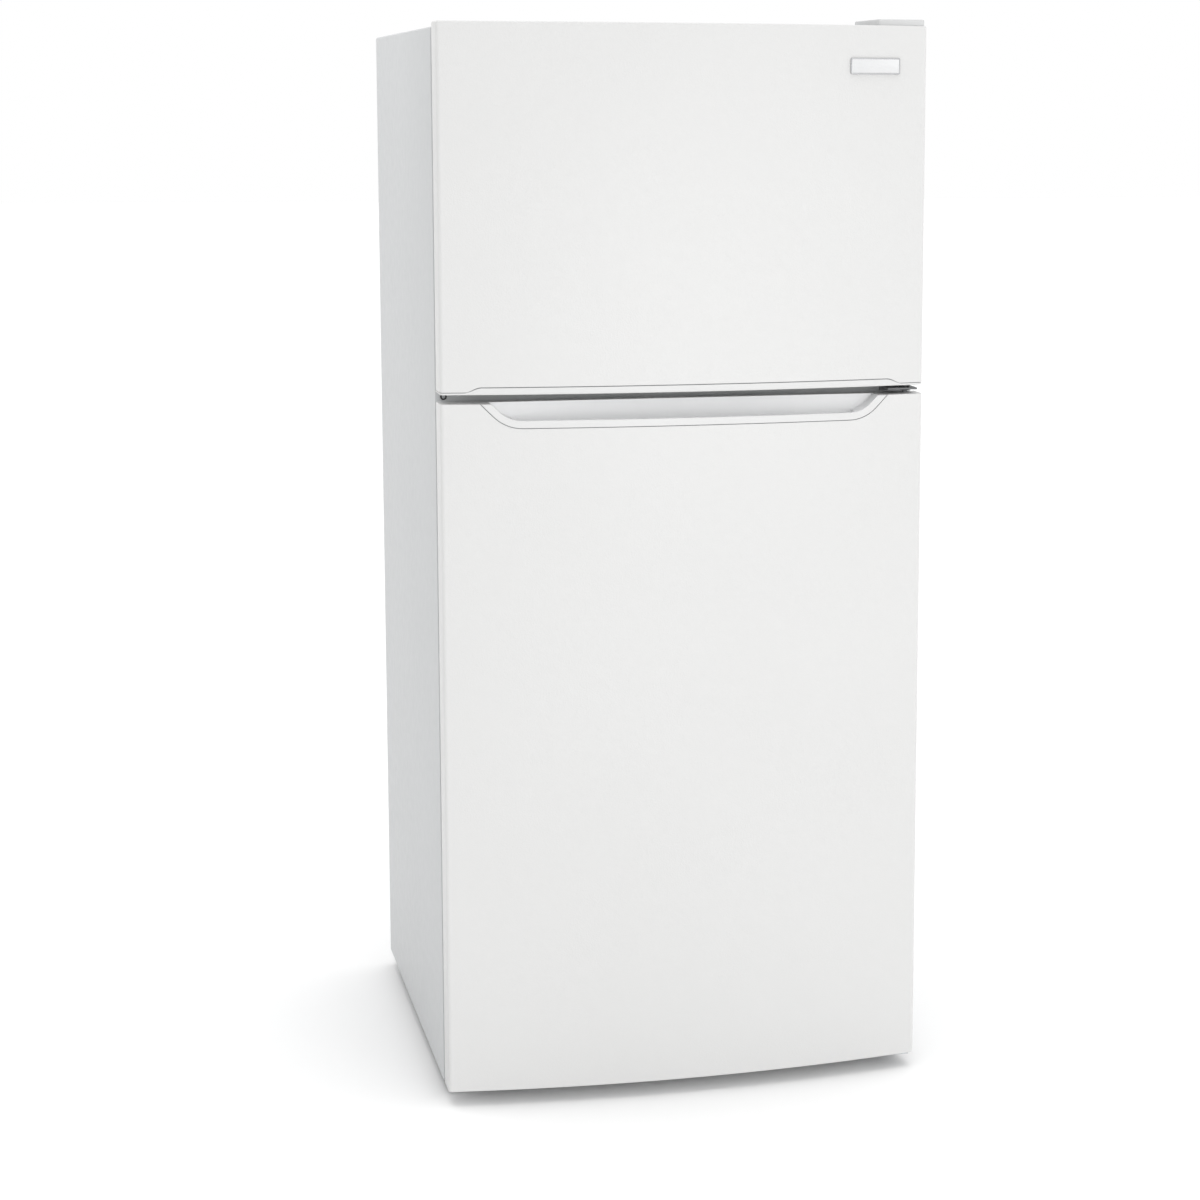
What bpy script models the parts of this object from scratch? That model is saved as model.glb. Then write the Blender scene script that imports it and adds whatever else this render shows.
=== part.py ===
"""A top freezer refrigerator, modelled as the assembly it is built from.

The part stands on z = 0 with its origin at the centre of its footprint. The doors face -Y and are
hinged on the right, +X. All sizes are in metres.
"""

import math

import bmesh
import bpy
from mathutils import Matrix, Vector

# ---- driving dimensions --------------------------------------------------------------------------
WIDTH = 0.762
DEPTH = 0.7715
HEIGHT = 1.6859
FRONT = -DEPTH / 2
BACK = DEPTH / 2

BOW = 0.0294
DOOR_EDGE = 0.046
GASKET_GAP = 0.012
DOOR_SIDE_FRONT = FRONT + BOW
DOOR_BACK = DOOR_SIDE_FRONT + DOOR_EDGE
CABINET_FRONT = DOOR_BACK + GASKET_GAP
BOW_RADIUS = (WIDTH**2 / 4 + BOW**2) / (2 * BOW)

CABINET_BOTTOM = 0.025
CABINET_TOP = 1.669
DOOR_TOP = 1.676
FREEZER_DOOR_BOTTOM = 1.1204
FRIDGE_DOOR_TOP = 1.1063
FRIDGE_DOOR_BOTTOM = 0.025

GAP = 0.0003
SHEET = 0.001
LINER = 0.002
PLASTIC = 0.0025
OVERSHOOT = 0.01

HINGE_INSET = 0.022
HINGE_X = WIDTH / 2 - HINGE_INSET
HINGE_Y = (DOOR_SIDE_FRONT + DOOR_BACK) / 2
PIN_R = 0.004
PIN_HOLE_R = 0.0047

# Air space of each compartment, inside its liner.
FREEZER_HALF = 0.322
FREEZER_FLOOR = 1.150
FREEZER_CEILING = 1.609
FRIDGE_HALF = 0.333
FRIDGE_FLOOR = 0.115
FRIDGE_CEILING = 1.076
COMPARTMENT_BACK = 0.330
STEP_FRONT = 0.105
STEP_TOP = 0.335
MACHINE_FRONT = 0.150
MACHINE_TOP = 0.285

FLANGE_HALF = 0.3635
RAIL_BOTTOM = 1.0968
RAIL_TOP = 1.1308
PAN_BOTTOM = 0.050
PAN_TOP = 0.052

# Grip in the top of the lower door: a lip of constant width round a shallow arc-ended cut-out.
GRIP_ARC_X = 0.258
GRIP_ARC_Z = 1.1312
GRIP_LIP_R = 0.062
GRIP_LIP = 0.011
GRIP_SLOPE = math.radians(45)
GRIP_BACK = -0.336
GRIP_FLOOR = 1.0615
HANDLE_BOTTOM = 1.0565
LIP_THICKNESS = 0.009

# Lower edge of the freezer door's skin steps up between its ends, over the grip moulding.
SKIN_EDGE_LOW = 1.1245
SKIN_EDGE_HIGH = 1.1322
SKIN_STEP_OUTER = 0.347
SKIN_STEP_INNER = 0.320
FREEZER_HANDLE_TOP = 1.150
FREEZER_GRIP_TOP = 1.1435
FREEZER_GRIP_HALF = 0.290
FREEZER_LIP = 0.012

# A door's inner panel comes this close to its edges; the dike stands on the panel.
PANEL_INSET = 0.0005
DIKE = 0.032
DIKE_WIDTH = 0.024
FRIDGE_DIKE_HALF = 0.325
FREEZER_DIKE_HALF = 0.312
DIKE_MARGIN = 0.006
GASKET_HALF = 0.355
GASKET_WIDTH = 0.014

BIN_BACK = -0.203
FREEZER_BIN_BACK = -0.215
BIN_WALL = 0.003
DOOR_FIT = 0.0005
SHELF_FRONT = -0.175
SHELF_BACK = 0.300
LOWER_SHELF = 0.560
UPPER_SHELF = 0.790
CRISPER_COVER = 0.3385
SHELF_THICKNESS = 0.015
SHELF_RIM = 0.018
FREEZER_SHELF = 1.376
FREEZER_SHELF_THICKNESS = 0.006
FREEZER_SHELF_BARS = 20

# Crispers keep clear of the fresh food door's dike while the door turns.
CRISPER_INNER = 0.004
CRISPER_OUTER = 0.318
CRISPER_TOP = 0.328
CRISPER_FRONT_WALL = 0.016

# Door bins: floor and height of each, and the dairy box's ends.
FREEZER_BINS = {"lower": (1.195, 0.085), "upper": (1.410, 0.085)}
FRIDGE_BINS = {"lower": (0.150, 0.110), "middle": (0.540, 0.100), "upper": (0.865, 0.095)}
DAIRY_LOW = (-0.298, 0.885)
DAIRY_HIGH = (-0.006, 0.995)
DAIRY_ROLL_R = 0.003
FLAP_THICKNESS = 0.003

# Hinges: plates, the posts that carry them, and the cover over the top one.
HINGE_PLATE = 0.003
HINGE_REACH = 0.012
TOP_HINGE_INNER = 0.318
TOP_HINGE_OUTER = 0.374
TOP_HINGE_BACK = -0.240
CENTER_HINGE_INNER = 0.328
BOTTOM_HINGE_INNER = 0.336
LOWER_HINGE_OUTER = 0.376
BOTTOM_HINGE_Z = 0.020
BOTTOM_HINGE_BACK = -0.270
COVER_INNER = 0.303
COVER_OUTER = 0.379
COVER_FRONT = -0.352
COVER_BACK = -0.225
COVER_STEP = -0.296

BADGE_X = 0.294
BADGE_Z = 1.61425
BADGE_SIZE = (0.082, 0.0245)
BADGE_THICKNESS = 0.0025

# Base: rollers, levelling feet and the grille between them.
ROLLER_R = 0.020
ROLLER_Y = 0.320
ROLLER_X = 0.310
ROLLER_WIDTH = 0.018
FOOT_X = 0.330
FOOT_Y = -0.255
FOOT_BOSS = 0.014
GRILLE_LEFT = -0.374
GRILLE_RIGHT = 0.330
GRILLE_SLOTS = 22

# Fresh food controls, under the ceiling.
HOUSING_LEFT = -0.280
HOUSING_RIGHT = 0.170
HOUSING_FRONT = -0.262
HOUSING_BACK = 0.040
HOUSING_BOTTOM = 1.032
FRIDGE_KNOB = (-0.130, -0.180, 1.0245)
FRIDGE_KNOB_R = 0.019
LAMP_LOW = (-0.030, -0.235, 1.018)
LAMP_HIGH = (0.130, 0.010, 1.0317)
LAMP_WALL = 0.002
PLUNGER_X = -0.255
PLUNGER_Z = 1.058
PLUNGER_R = 0.0045

# Evaporator compartment, behind the freezer's back cover.
DUCT_FRONT = 0.2620
FREEZER_KNOB = (0.235, 0.2548, 1.250)
FREEZER_KNOB_R = 0.021
KNOB_HEIGHT = 0.014
EVAPORATOR_LOW = (-0.235, 0.276, 1.180)
EVAPORATOR_HIGH = (0.235, 0.322, 1.350)
FIN_PITCH = 0.020
DUCT_FAN_Z = 1.470
DUCT_FAN_Y = 0.284

# Machine compartment.
PUMP = (0.225, 0.262, 0.056)
BLOWER = (0.045, 0.262, 0.155)
BLOWER_MOTOR_X = 0.082
DRAIN_LOW = (-0.345, 0.165)
DRAIN_HIGH = (-0.015, 0.360)
DRAIN_TOP = 0.074
COIL_LEFT = -0.325
COIL_RIGHT = -0.035
COIL_LAYERS = 4
COIL_LEVELS = 6
COVER_PANEL_Y = BACK - 0.008
COVER_PANEL_HALF = 0.378
CORD = (0.300, 0.085)

# ---- materials: colour, roughness, metallic ------------------------------------------------------
FINISHES = {
    "white_paint": ((0.86, 0.865, 0.86), 0.35, 0.0),
    "cabinet_paint": ((0.80, 0.81, 0.81), 0.45, 0.0),
    "white_plastic": ((0.87, 0.875, 0.87), 0.35, 0.0),
    "liner_plastic": ((0.88, 0.885, 0.88), 0.30, 0.0),
    "gasket_vinyl": ((0.80, 0.81, 0.80), 0.60, 0.0),
    "foam": ((0.85, 0.76, 0.52), 0.90, 0.0),
    "clear_plastic": ((0.82, 0.87, 0.89), 0.12, 0.0),
    "shelf_glass": ((0.80, 0.88, 0.87), 0.08, 0.0),
    "zinc_steel": ((0.62, 0.63, 0.63), 0.40, 1.0),
    "grey_plastic": ((0.42, 0.43, 0.43), 0.50, 0.0),
    "black_paint": ((0.03, 0.03, 0.03), 0.45, 0.0),
    "black_rubber": ((0.04, 0.04, 0.04), 0.80, 0.0),
    "aluminium": ((0.78, 0.79, 0.80), 0.35, 1.0),
    "badge_metal": ((0.80, 0.80, 0.81), 0.25, 1.0),
}


# ---- scene and material helpers ------------------------------------------------------------------
def clear_scene():
    for obj in list(bpy.data.objects):
        bpy.data.objects.remove(obj)


def new_collection(name):
    collection = bpy.data.collections.new(name)
    bpy.context.scene.collection.children.link(collection)
    return collection


def make_material(name):
    colour, roughness, metallic = FINISHES[name]
    material = bpy.data.materials.new(name)
    material.use_nodes = True
    shader = material.node_tree.nodes["Principled BSDF"]
    shader.inputs["Base Color"].default_value = (*colour, 1.0)
    shader.inputs["Roughness"].default_value = roughness
    shader.inputs["Metallic"].default_value = metallic
    return material


clear_scene()
PARTS = new_collection("top_freezer_refrigerator")
CUTTERS = new_collection("cutters")
MATERIALS = {name: make_material(name) for name in FINISHES}


def add_object(name, mesh, finish):
    """Links a mesh as a part, or as a hidden helper when it has no finish."""
    obj = bpy.data.objects.new(name, mesh)
    if finish is None:
        CUTTERS.objects.link(obj)
        obj.hide_render = True
        obj.display_type = "WIRE"
    else:
        PARTS.objects.link(obj)
        mesh.materials.append(MATERIALS[finish])
    return obj


# ---- shape helpers -------------------------------------------------------------------------------
def block(name, low, high, finish=None):
    """A box between two corners, with its origin at its centre."""
    low, high = Vector(low), Vector(high)
    bm = bmesh.new()
    bmesh.ops.create_cube(bm, size=1.0)
    bmesh.ops.scale(bm, vec=high - low, verts=bm.verts)
    mesh = bpy.data.meshes.new(name)
    bm.to_mesh(mesh)
    bm.free()
    obj = add_object(name, mesh, finish)
    obj.location = (low + high) / 2
    return obj


AXIS_TURNS = {
    "X": Matrix(((0, 0, 1), (1, 0, 0), (0, 1, 0))),
    "Y": Matrix(((1, 0, 0), (0, 0, -1), (0, 1, 0))),
    "Z": Matrix.Identity(3),
}


def cylinder(name, centre, axis, radius, length, finish=None, sides=16):
    """A round bar centred on a point."""
    bm = bmesh.new()
    bmesh.ops.create_cone(
        bm, cap_ends=True, segments=sides, radius1=radius, radius2=radius, depth=length
    )
    mesh = bpy.data.meshes.new(name)
    bm.to_mesh(mesh)
    bm.free()
    mesh.shade_smooth()
    mesh.set_sharp_from_angle(angle=math.radians(40))
    obj = add_object(name, mesh, finish)
    obj.matrix_world = Matrix.Translation(centre) @ AXIS_TURNS[axis].to_4x4()
    return obj


def prism(name, outline, axis, start, end, finish=None):
    """A flat outline pushed along an axis, from start to end.

    The outline's points are (x, y) for axis Z, (x, z) for axis Y and (y, z) for axis X.
    """
    curve = bpy.data.curves.new(name, "CURVE")
    curve.dimensions = "2D"
    curve.fill_mode = "BOTH"
    curve.extrude = (end - start) / 2
    spline = curve.splines.new("POLY")
    spline.points.add(len(outline) - 1)
    for point, (u, v) in zip(spline.points, outline):
        point.co = (u, v, 0, 1)
    spline.use_cyclic_u = True
    middle = (start + end) / 2
    offset = {"X": (middle, 0, 0), "Y": (0, middle, 0), "Z": (0, 0, middle)}[axis]
    flat = bpy.data.objects.new(name + "_outline", curve)
    CUTTERS.objects.link(flat)
    flat.matrix_world = Matrix.Translation(offset) @ AXIS_TURNS[axis].to_4x4()
    return curve_to_solid(flat, name, finish)


def curve_to_solid(source, name, finish):
    """The closed, flat shaded mesh of a curve object, which is then removed."""
    bpy.context.view_layer.update()
    graph = bpy.context.evaluated_depsgraph_get()
    mesh = bpy.data.meshes.new_from_object(source.evaluated_get(graph))
    bm = bmesh.new()
    bm.from_mesh(mesh)
    bmesh.ops.remove_doubles(bm, verts=bm.verts, dist=1e-6)
    bmesh.ops.recalc_face_normals(bm, faces=bm.faces)
    bm.to_mesh(mesh)
    bm.free()
    mesh.materials.clear()
    mesh.shade_flat()
    obj = add_object(name, mesh, finish)
    obj.matrix_world = source.matrix_world
    bpy.data.objects.remove(source)
    return obj


def tube(name, points, radius, finish):
    """A bent round tube through the points."""
    curve = bpy.data.curves.new(name, "CURVE")
    curve.dimensions = "3D"
    curve.bevel_depth = radius
    curve.bevel_resolution = 1
    curve.use_fill_caps = True
    spline = curve.splines.new("POLY")
    spline.points.add(len(points) - 1)
    for point, place in zip(spline.points, points):
        point.co = (*place, 1)
    obj = bpy.data.objects.new(name, curve)
    PARTS.objects.link(obj)
    curve.materials.append(MATERIALS[finish])
    return obj


def turned(name, profile, centre, axis, finish, steps=20):
    """A turned piece. The profile's (radius, height) points run down its outer side, top to bottom."""
    mesh = bpy.data.meshes.new(name)
    bm = bmesh.new()
    verts = [bm.verts.new((radius, 0, height)) for radius, height in profile]
    for first, second in zip(verts, verts[1:]):
        bm.edges.new((first, second))
    bm.to_mesh(mesh)
    bm.free()
    obj = add_object(name, mesh, finish)
    screw = obj.modifiers.new("turn", "SCREW")
    screw.steps = steps
    screw.render_steps = steps
    screw.use_merge_vertices = True
    screw.merge_threshold = 0.00001
    obj.matrix_world = Matrix.Translation(centre) @ AXIS_TURNS[axis].to_4x4()
    return obj


def combine(obj, others, operation):
    """Adds a Boolean for each of the other pieces, which become hidden helpers."""
    for other in others:
        modifier = obj.modifiers.new(other.name, "BOOLEAN")
        modifier.operation = operation
        modifier.solver = "EXACT"
        modifier.object = other
    return obj


def cut(obj, *others):
    return combine(obj, others, "DIFFERENCE")


def join(obj, *others):
    return combine(obj, others, "UNION")


def common(obj, *others):
    return combine(obj, others, "INTERSECT")


def pivot(name, place, pieces):
    """An empty on a joint's axis that carries the joint's pieces."""
    empty = bpy.data.objects.new(name, None)
    PARTS.objects.link(empty)
    empty.location = place
    bpy.context.view_layer.update()
    for piece in pieces:
        piece.parent = empty
        piece.matrix_parent_inverse = empty.matrix_world.inverted()


# ---- outlines ------------------------------------------------------------------------------------
def bow_y(x):
    """How the doors' front surface lies at x."""
    return FRONT + BOW_RADIUS - math.sqrt(BOW_RADIUS**2 - x**2)


def bowed_outline(half, inset, back, corner=0.006, steps=32):
    """Plan of a slab with a bowed front: straight back and sides, and rounded front corners."""
    reach = half - corner
    front = [reach * (2 * i / steps - 1) for i in range(steps + 1)]
    curve = [(x, bow_y(x) + inset) for x in front]
    side_y = curve[0][1] + corner
    bend = [
        (half - corner * (1 - math.cos(a)), side_y - corner * math.sin(a))
        for a in (math.radians(d) for d in (0, 30, 60))
    ]
    left = [(-x, y) for x, y in bend]
    return [(-half, back), *left, *curve, *reversed(bend), (half, back)]


def grip_outline(radius, top):
    """Front view of the lower door's grip: a flat bottom, an arc and a slope up at each end."""
    arcs = [GRIP_SLOPE * i / 6 for i in range(7)]
    right = [
        (GRIP_ARC_X + radius * math.sin(a), GRIP_ARC_Z - radius * math.cos(a)) for a in arcs
    ]
    end_x, end_z = right[-1]
    right.append((end_x + (top - end_z) / math.tan(GRIP_SLOPE), top))
    left = [(-x, z) for x, z in reversed(right)]
    return [*left, *right]


def stepped_edge(outer, inner, low, high, bottom):
    """Front view of what lies under the freezer door's skin: an edge that steps up between its ends."""
    steps = 6
    rise = []
    for i in range(steps + 1):
        t = i / steps
        rise.append((outer + (inner - outer) * t, low + (high - low) * t * t * (3 - 2 * t)))
    left = [(-x, z) for x, z in rise]
    half = WIDTH / 2 + OVERSHOOT
    right = list(reversed(rise))
    return [(-half, bottom), (-half, low), *left, *right, (half, low), (half, bottom)]


def ring(name, half, low_z, high_z, width, low_y, high_y, finish=None):
    """A rectangular frame that faces the front."""
    frame = block(name, (-half, low_y, low_z), (half, high_y, high_z), finish)
    hole = block(
        name + "_hole",
        (-half + width, low_y - OVERSHOOT, low_z + width),
        (half - width, high_y + OVERSHOOT, high_z - width),
    )
    return cut(frame, hole)


# ---- cabinet -------------------------------------------------------------------------------------
def cabinet_shell():
    half = WIDTH / 2
    wrapper = block(
        "cabinet_wrapper",
        (-half, CABINET_FRONT, CABINET_BOTTOM),
        (half, BACK, CABINET_TOP),
        "cabinet_paint",
    )
    inside = block(
        "wrapper_inside",
        (-half + SHEET, CABINET_FRONT + SHEET, CABINET_BOTTOM - OVERSHOOT),
        (half - SHEET, BACK + OVERSHOOT, CABINET_TOP - SHEET),
    )
    mouth = block(
        "wrapper_mouth",
        (-FLANGE_HALF - GAP, CABINET_FRONT - OVERSHOOT, CABINET_BOTTOM - OVERSHOOT),
        (FLANGE_HALF + GAP, CABINET_FRONT + 2 * SHEET, 1.6508),
    )
    cut(wrapper, inside, mouth)
    inner = half - SHEET - GAP
    block(
        "back_panel",
        (-inner, BACK - 0.0015, MACHINE_TOP + 0.002),
        (inner, BACK - 0.0005, CABINET_TOP - SHEET - GAP),
        "zinc_steel",
    )
    rail_back = CABINET_FRONT + LINER
    block(
        "mullion_rail",
        (-FLANGE_HALF, CABINET_FRONT, RAIL_BOTTOM),
        (FLANGE_HALF, rail_back, RAIL_TOP),
        "cabinet_paint",
    )
    cylinder(
        "hinge_hole_plug",
        (-HINGE_X - 0.009, CABINET_FRONT - GAP - 0.002, 1.1125),
        "Y",
        0.005,
        0.004,
        "black_rubber",
    )


def compartment(name, half, floor, ceiling, grow, finish=None):
    """The freezer's air space, larger by grow on every wall and open to the front."""
    return block(
        name,
        (-half - grow, CABINET_FRONT - OVERSHOOT, floor - grow),
        (half + grow, COMPARTMENT_BACK + grow, ceiling + grow),
        finish,
    )


def stepped_compartment(name, grow, finish=None, front=CABINET_FRONT - OVERSHOOT):
    """The fresh food air space, whose back steps forward over the machine compartment."""
    outline = [
        (front, FRIDGE_FLOOR - grow),
        (STEP_FRONT + grow, FRIDGE_FLOOR - grow),
        (STEP_FRONT + grow, STEP_TOP - grow),
        (COMPARTMENT_BACK + grow, STEP_TOP - grow),
        (COMPARTMENT_BACK + grow, FRIDGE_CEILING + grow),
        (front, FRIDGE_CEILING + grow),
    ]
    half = FRIDGE_HALF + grow
    return prism(name, outline, "X", -half, half, finish)


def cabinet_foam():
    inner = WIDTH / 2 - SHEET - GAP
    foam = block(
        "cabinet_foam",
        (-inner, CABINET_FRONT + LINER + GAP, PAN_TOP + GAP),
        (inner, BACK - 0.0018, CABINET_TOP - SHEET - GAP),
        "foam",
    )
    machine = block(
        "foam_machine_space",
        (-WIDTH, MACHINE_FRONT, 0.0),
        (WIDTH, BACK + OVERSHOOT, MACHINE_TOP),
    )
    grow = LINER + GAP
    freezer = compartment("foam_freezer_space", FREEZER_HALF, FREEZER_FLOOR, FREEZER_CEILING, grow)
    cut(foam, machine, freezer, stepped_compartment("foam_fridge_space", grow))


def ledges(name, half, top, back=0.24, depth=0.007, height=0.008):
    """A pair of ribs on the side walls that carry a shelf whose underside is at top."""
    pair = []
    for side in (-1, 1):
        inner = side * (half - depth)
        outer = side * (half + LINER / 2)
        pair.append(
            block(
                f"{name}_{'left' if side < 0 else 'right'}",
                (min(inner, outer), SHELF_FRONT + 0.01, top - height),
                (max(inner, outer), back, top - GAP),
            )
        )
    return pair


def liner_flange(name, low_z, high_z):
    return block(
        name,
        (-FLANGE_HALF, CABINET_FRONT, low_z),
        (FLANGE_HALF, CABINET_FRONT + LINER, high_z),
    )


def liners():
    freezer = block(
        "freezer_liner",
        (-FREEZER_HALF - LINER, CABINET_FRONT, FREEZER_FLOOR - LINER),
        (FREEZER_HALF + LINER, COMPARTMENT_BACK + LINER, FREEZER_CEILING + LINER),
        "liner_plastic",
    )
    join(freezer, liner_flange("freezer_flange", RAIL_TOP + GAP, 1.6505))
    cut(freezer, compartment("freezer_air", FREEZER_HALF, FREEZER_FLOOR, FREEZER_CEILING, 0.0))
    join(freezer, *ledges("freezer_ledge", FREEZER_HALF, FREEZER_SHELF))

    fridge = stepped_compartment("fridge_liner", LINER, "liner_plastic", CABINET_FRONT)
    join(fridge, liner_flange("fridge_flange", PAN_TOP + GAP, RAIL_BOTTOM - GAP))
    cut(fridge, stepped_compartment("fridge_air", 0.0))
    join(fridge, *ledges("lower_ledge", FRIDGE_HALF, LOWER_SHELF))
    join(fridge, *ledges("upper_ledge", FRIDGE_HALF, UPPER_SHELF))
    join(fridge, *ledges("cover_ledge", FRIDGE_HALF, CRISPER_COVER, STEP_FRONT - 0.005))


# ---- base: pan, rollers, feet, grille ------------------------------------------------------------
def base():
    inner = WIDTH / 2 - SHEET - GAP
    pan = block(
        "base_pan", (-inner, CABINET_FRONT + LINER, PAN_BOTTOM), (inner, 0.375, PAN_TOP), "zinc_steel"
    )
    for side, word in ((-1, "left"), (1, "right")):
        for n, ear in enumerate((ROLLER_X - 0.0135, ROLLER_X + 0.0105)):
            low, high = sorted((side * ear, side * (ear + HINGE_PLATE)))
            join(
                pan,
                block(
                    f"roller_ear_{word}_{n}",
                    (low, ROLLER_Y - 0.018, 0.012),
                    (high, ROLLER_Y + 0.018, PAN_TOP - SHEET),
                ),
            )
        axle = (side * ROLLER_X, ROLLER_Y, ROLLER_R)
        join(pan, cylinder(f"roller_axle_{word}", axle, "X", 0.003, 0.026, sides=12))
        boss_x = side * FOOT_X
        boss = block(
            f"foot_boss_{word}",
            (boss_x - FOOT_BOSS, FOOT_Y - FOOT_BOSS, 0.036),
            (boss_x + FOOT_BOSS, FOOT_Y + FOOT_BOSS, PAN_TOP - SHEET),
        )
        join(pan, boss)
        cut(pan, cylinder(f"foot_bore_{word}", (boss_x, FOOT_Y, 0.041), "Z", 0.0056, 0.016))
        leveling_foot(word, boss_x)
        roller(word, axle)

    grille_front = CABINET_FRONT + 0.0015
    grille = block(
        "toe_grille",
        (GRILLE_LEFT, grille_front, 0.010),
        (GRILLE_RIGHT, grille_front + 0.003, PAN_BOTTOM - 0.0005),
        "grey_plastic",
    )
    first = GRILLE_LEFT + 0.022
    pitch = (GRILLE_RIGHT - 0.022 - first) / (GRILLE_SLOTS - 1)
    for i in range(GRILLE_SLOTS):
        x = first + pitch * i
        low = (x - 0.010, grille_front - OVERSHOOT, 0.016)
        high = (x + 0.010, grille_front + OVERSHOOT, 0.042)
        cut(grille, block(f"grille_slot_{i}", low, high))


def leveling_foot(word, x):
    profile = [
        (0, 0.048),
        (0.005, 0.048),
        (0.005, 0.010),
        (0.012, 0.009),
        (0.018, 0.004),
        (0.018, 0.0),
        (0, 0.0),
    ]
    turned(f"leveling_foot_{word}", profile, (x, FOOT_Y, 0), "Z", "grey_plastic", 16)


def roller(word, centre):
    half = ROLLER_WIDTH / 2
    bore = 0.0037
    chamfer = 0.002
    profile = [
        (bore, half),
        (ROLLER_R - chamfer, half),
        (ROLLER_R, half - chamfer),
        (ROLLER_R, chamfer - half),
        (ROLLER_R - chamfer, -half),
        (bore, -half),
        (bore, half),
    ]
    # The seam vertex lies straight down, so the wheel's lowest edge is on the floor.
    wheel = turned(f"rear_roller_{word}", profile, centre, "X", "grey_plastic", 24)
    wheel.matrix_world = wheel.matrix_world @ Matrix.Rotation(math.radians(-90), 4, "Z")


# ---- hinges --------------------------------------------------------------------------------------
def pin(name, low, high):
    return cylinder(name, (HINGE_X, HINGE_Y, (low + high) / 2), "Z", PIN_R, high - low)


def hinges():
    front = HINGE_Y - HINGE_REACH
    plate_low = DOOR_TOP + 0.0008
    plate_high = plate_low + HINGE_PLATE
    plate_back = (TOP_HINGE_OUTER, TOP_HINGE_BACK, plate_high)
    top = block("top_hinge", (TOP_HINGE_INNER, front, plate_low), plate_back, "zinc_steel")
    heel = block(
        "top_hinge_heel",
        (TOP_HINGE_INNER, TOP_HINGE_BACK - 0.050, CABINET_TOP + GAP),
        (TOP_HINGE_OUTER, TOP_HINGE_BACK, plate_high - SHEET),
    )
    join(top, heel, pin("top_pin", DOOR_TOP - 0.018, plate_high - SHEET))
    hinge_cover()

    middle = (FREEZER_DOOR_BOTTOM + FRIDGE_DOOR_TOP) / 2
    thick = HINGE_PLATE / 2
    tab_back = CABINET_FRONT - GAP
    centre = block(
        "center_hinge",
        (CENTER_HINGE_INNER, front, middle - thick),
        (LOWER_HINGE_OUTER, tab_back, middle + thick),
        "zinc_steel",
    )
    tab = block(
        "center_tab",
        (CENTER_HINGE_INNER, tab_back - HINGE_PLATE, middle - 2 * HINGE_PLATE),
        (LOWER_HINGE_OUTER, tab_back, middle + 2 * HINGE_PLATE),
    )
    join(centre, tab, pin("center_pin", FRIDGE_DOOR_TOP - 0.014, FREEZER_DOOR_BOTTOM + 0.014))

    bottom = block(
        "bottom_hinge",
        (BOTTOM_HINGE_INNER, front, BOTTOM_HINGE_Z - thick),
        (LOWER_HINGE_OUTER, BOTTOM_HINGE_BACK, BOTTOM_HINGE_Z + thick),
        "zinc_steel",
    )
    post = block(
        "bottom_hinge_post",
        (BOTTOM_HINGE_INNER + 0.014, BOTTOM_HINGE_BACK - 0.0215, BOTTOM_HINGE_Z),
        (LOWER_HINGE_OUTER, BOTTOM_HINGE_BACK, PAN_BOTTOM - GAP),
    )
    join(bottom, post, pin("bottom_pin", BOTTOM_HINGE_Z, FRIDGE_DOOR_BOTTOM + 0.012))


def hinge_cover():
    bevel = 0.004
    side_view = [
        (COVER_FRONT, DOOR_TOP + GAP),
        (COVER_FRONT, HEIGHT - bevel),
        (COVER_FRONT + bevel, HEIGHT),
        (COVER_BACK - bevel, HEIGHT),
        (COVER_BACK, HEIGHT - bevel),
        (COVER_BACK, CABINET_TOP + GAP),
        (COVER_STEP, CABINET_TOP + GAP),
        (COVER_STEP, DOOR_TOP + GAP),
    ]
    cover = prism("top_hinge_cover", side_view, "X", COVER_INNER, COVER_OUTER, "white_plastic")
    wall = 0.0015
    hollow = block(
        "cover_hollow",
        (COVER_INNER + wall, COVER_FRONT + 2 * wall, CABINET_TOP - OVERSHOOT),
        (COVER_OUTER - wall, COVER_BACK - 2 * wall, HEIGHT - 2 * wall),
    )
    cut(cover, hollow)


# ---- doors ---------------------------------------------------------------------------------------
def hinge_hole(name, low, high):
    return cylinder(name, (HINGE_X, HINGE_Y, (low + high) / 2), "Z", PIN_HOLE_R, high - low)


def door_skin(name, low, high, closed_top):
    """Steel sheet wrapped round a door's front and sides."""
    half = WIDTH / 2
    back = DOOR_BACK - LINER - GAP
    skin = prism(name, bowed_outline(half, 0.0, back), "Z", low, high, "white_paint")
    inner_top = high - SHEET if closed_top else high + OVERSHOOT
    hollow = bowed_outline(half - SHEET, SHEET, back + OVERSHOOT)
    cut(skin, prism(name + "_hollow", hollow, "Z", low - OVERSHOOT, inner_top))
    return skin


def door_core(name, low, high, finish):
    """What fills a door between its skin and its liner, at one range of heights."""
    inset = SHEET + GAP
    back = DOOR_BACK - LINER - GAP
    return prism(name, bowed_outline(WIDTH / 2 - inset, inset, back), "Z", low, high, finish)


def door_liner(name, low, high, dike_half, dike_low, dike_high):
    """Moulded inner panel with the raised dike that the bins hang from."""
    half = WIDTH / 2 - PANEL_INSET
    panel = block(name, (-half, DOOR_BACK - LINER, low), (half, DOOR_BACK, high), "liner_plastic")
    dike = ring(
        name + "_dike",
        dike_half,
        dike_low,
        dike_high,
        DIKE_WIDTH,
        DOOR_BACK - SHEET,
        DOOR_BACK + DIKE,
    )
    return join(panel, dike)


def door_gasket(name, low, high):
    return ring(
        name,
        GASKET_HALF,
        low,
        high,
        GASKET_WIDTH,
        DOOR_BACK + GAP,
        CABINET_FRONT - GAP,
        "gasket_vinyl",
    )


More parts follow.
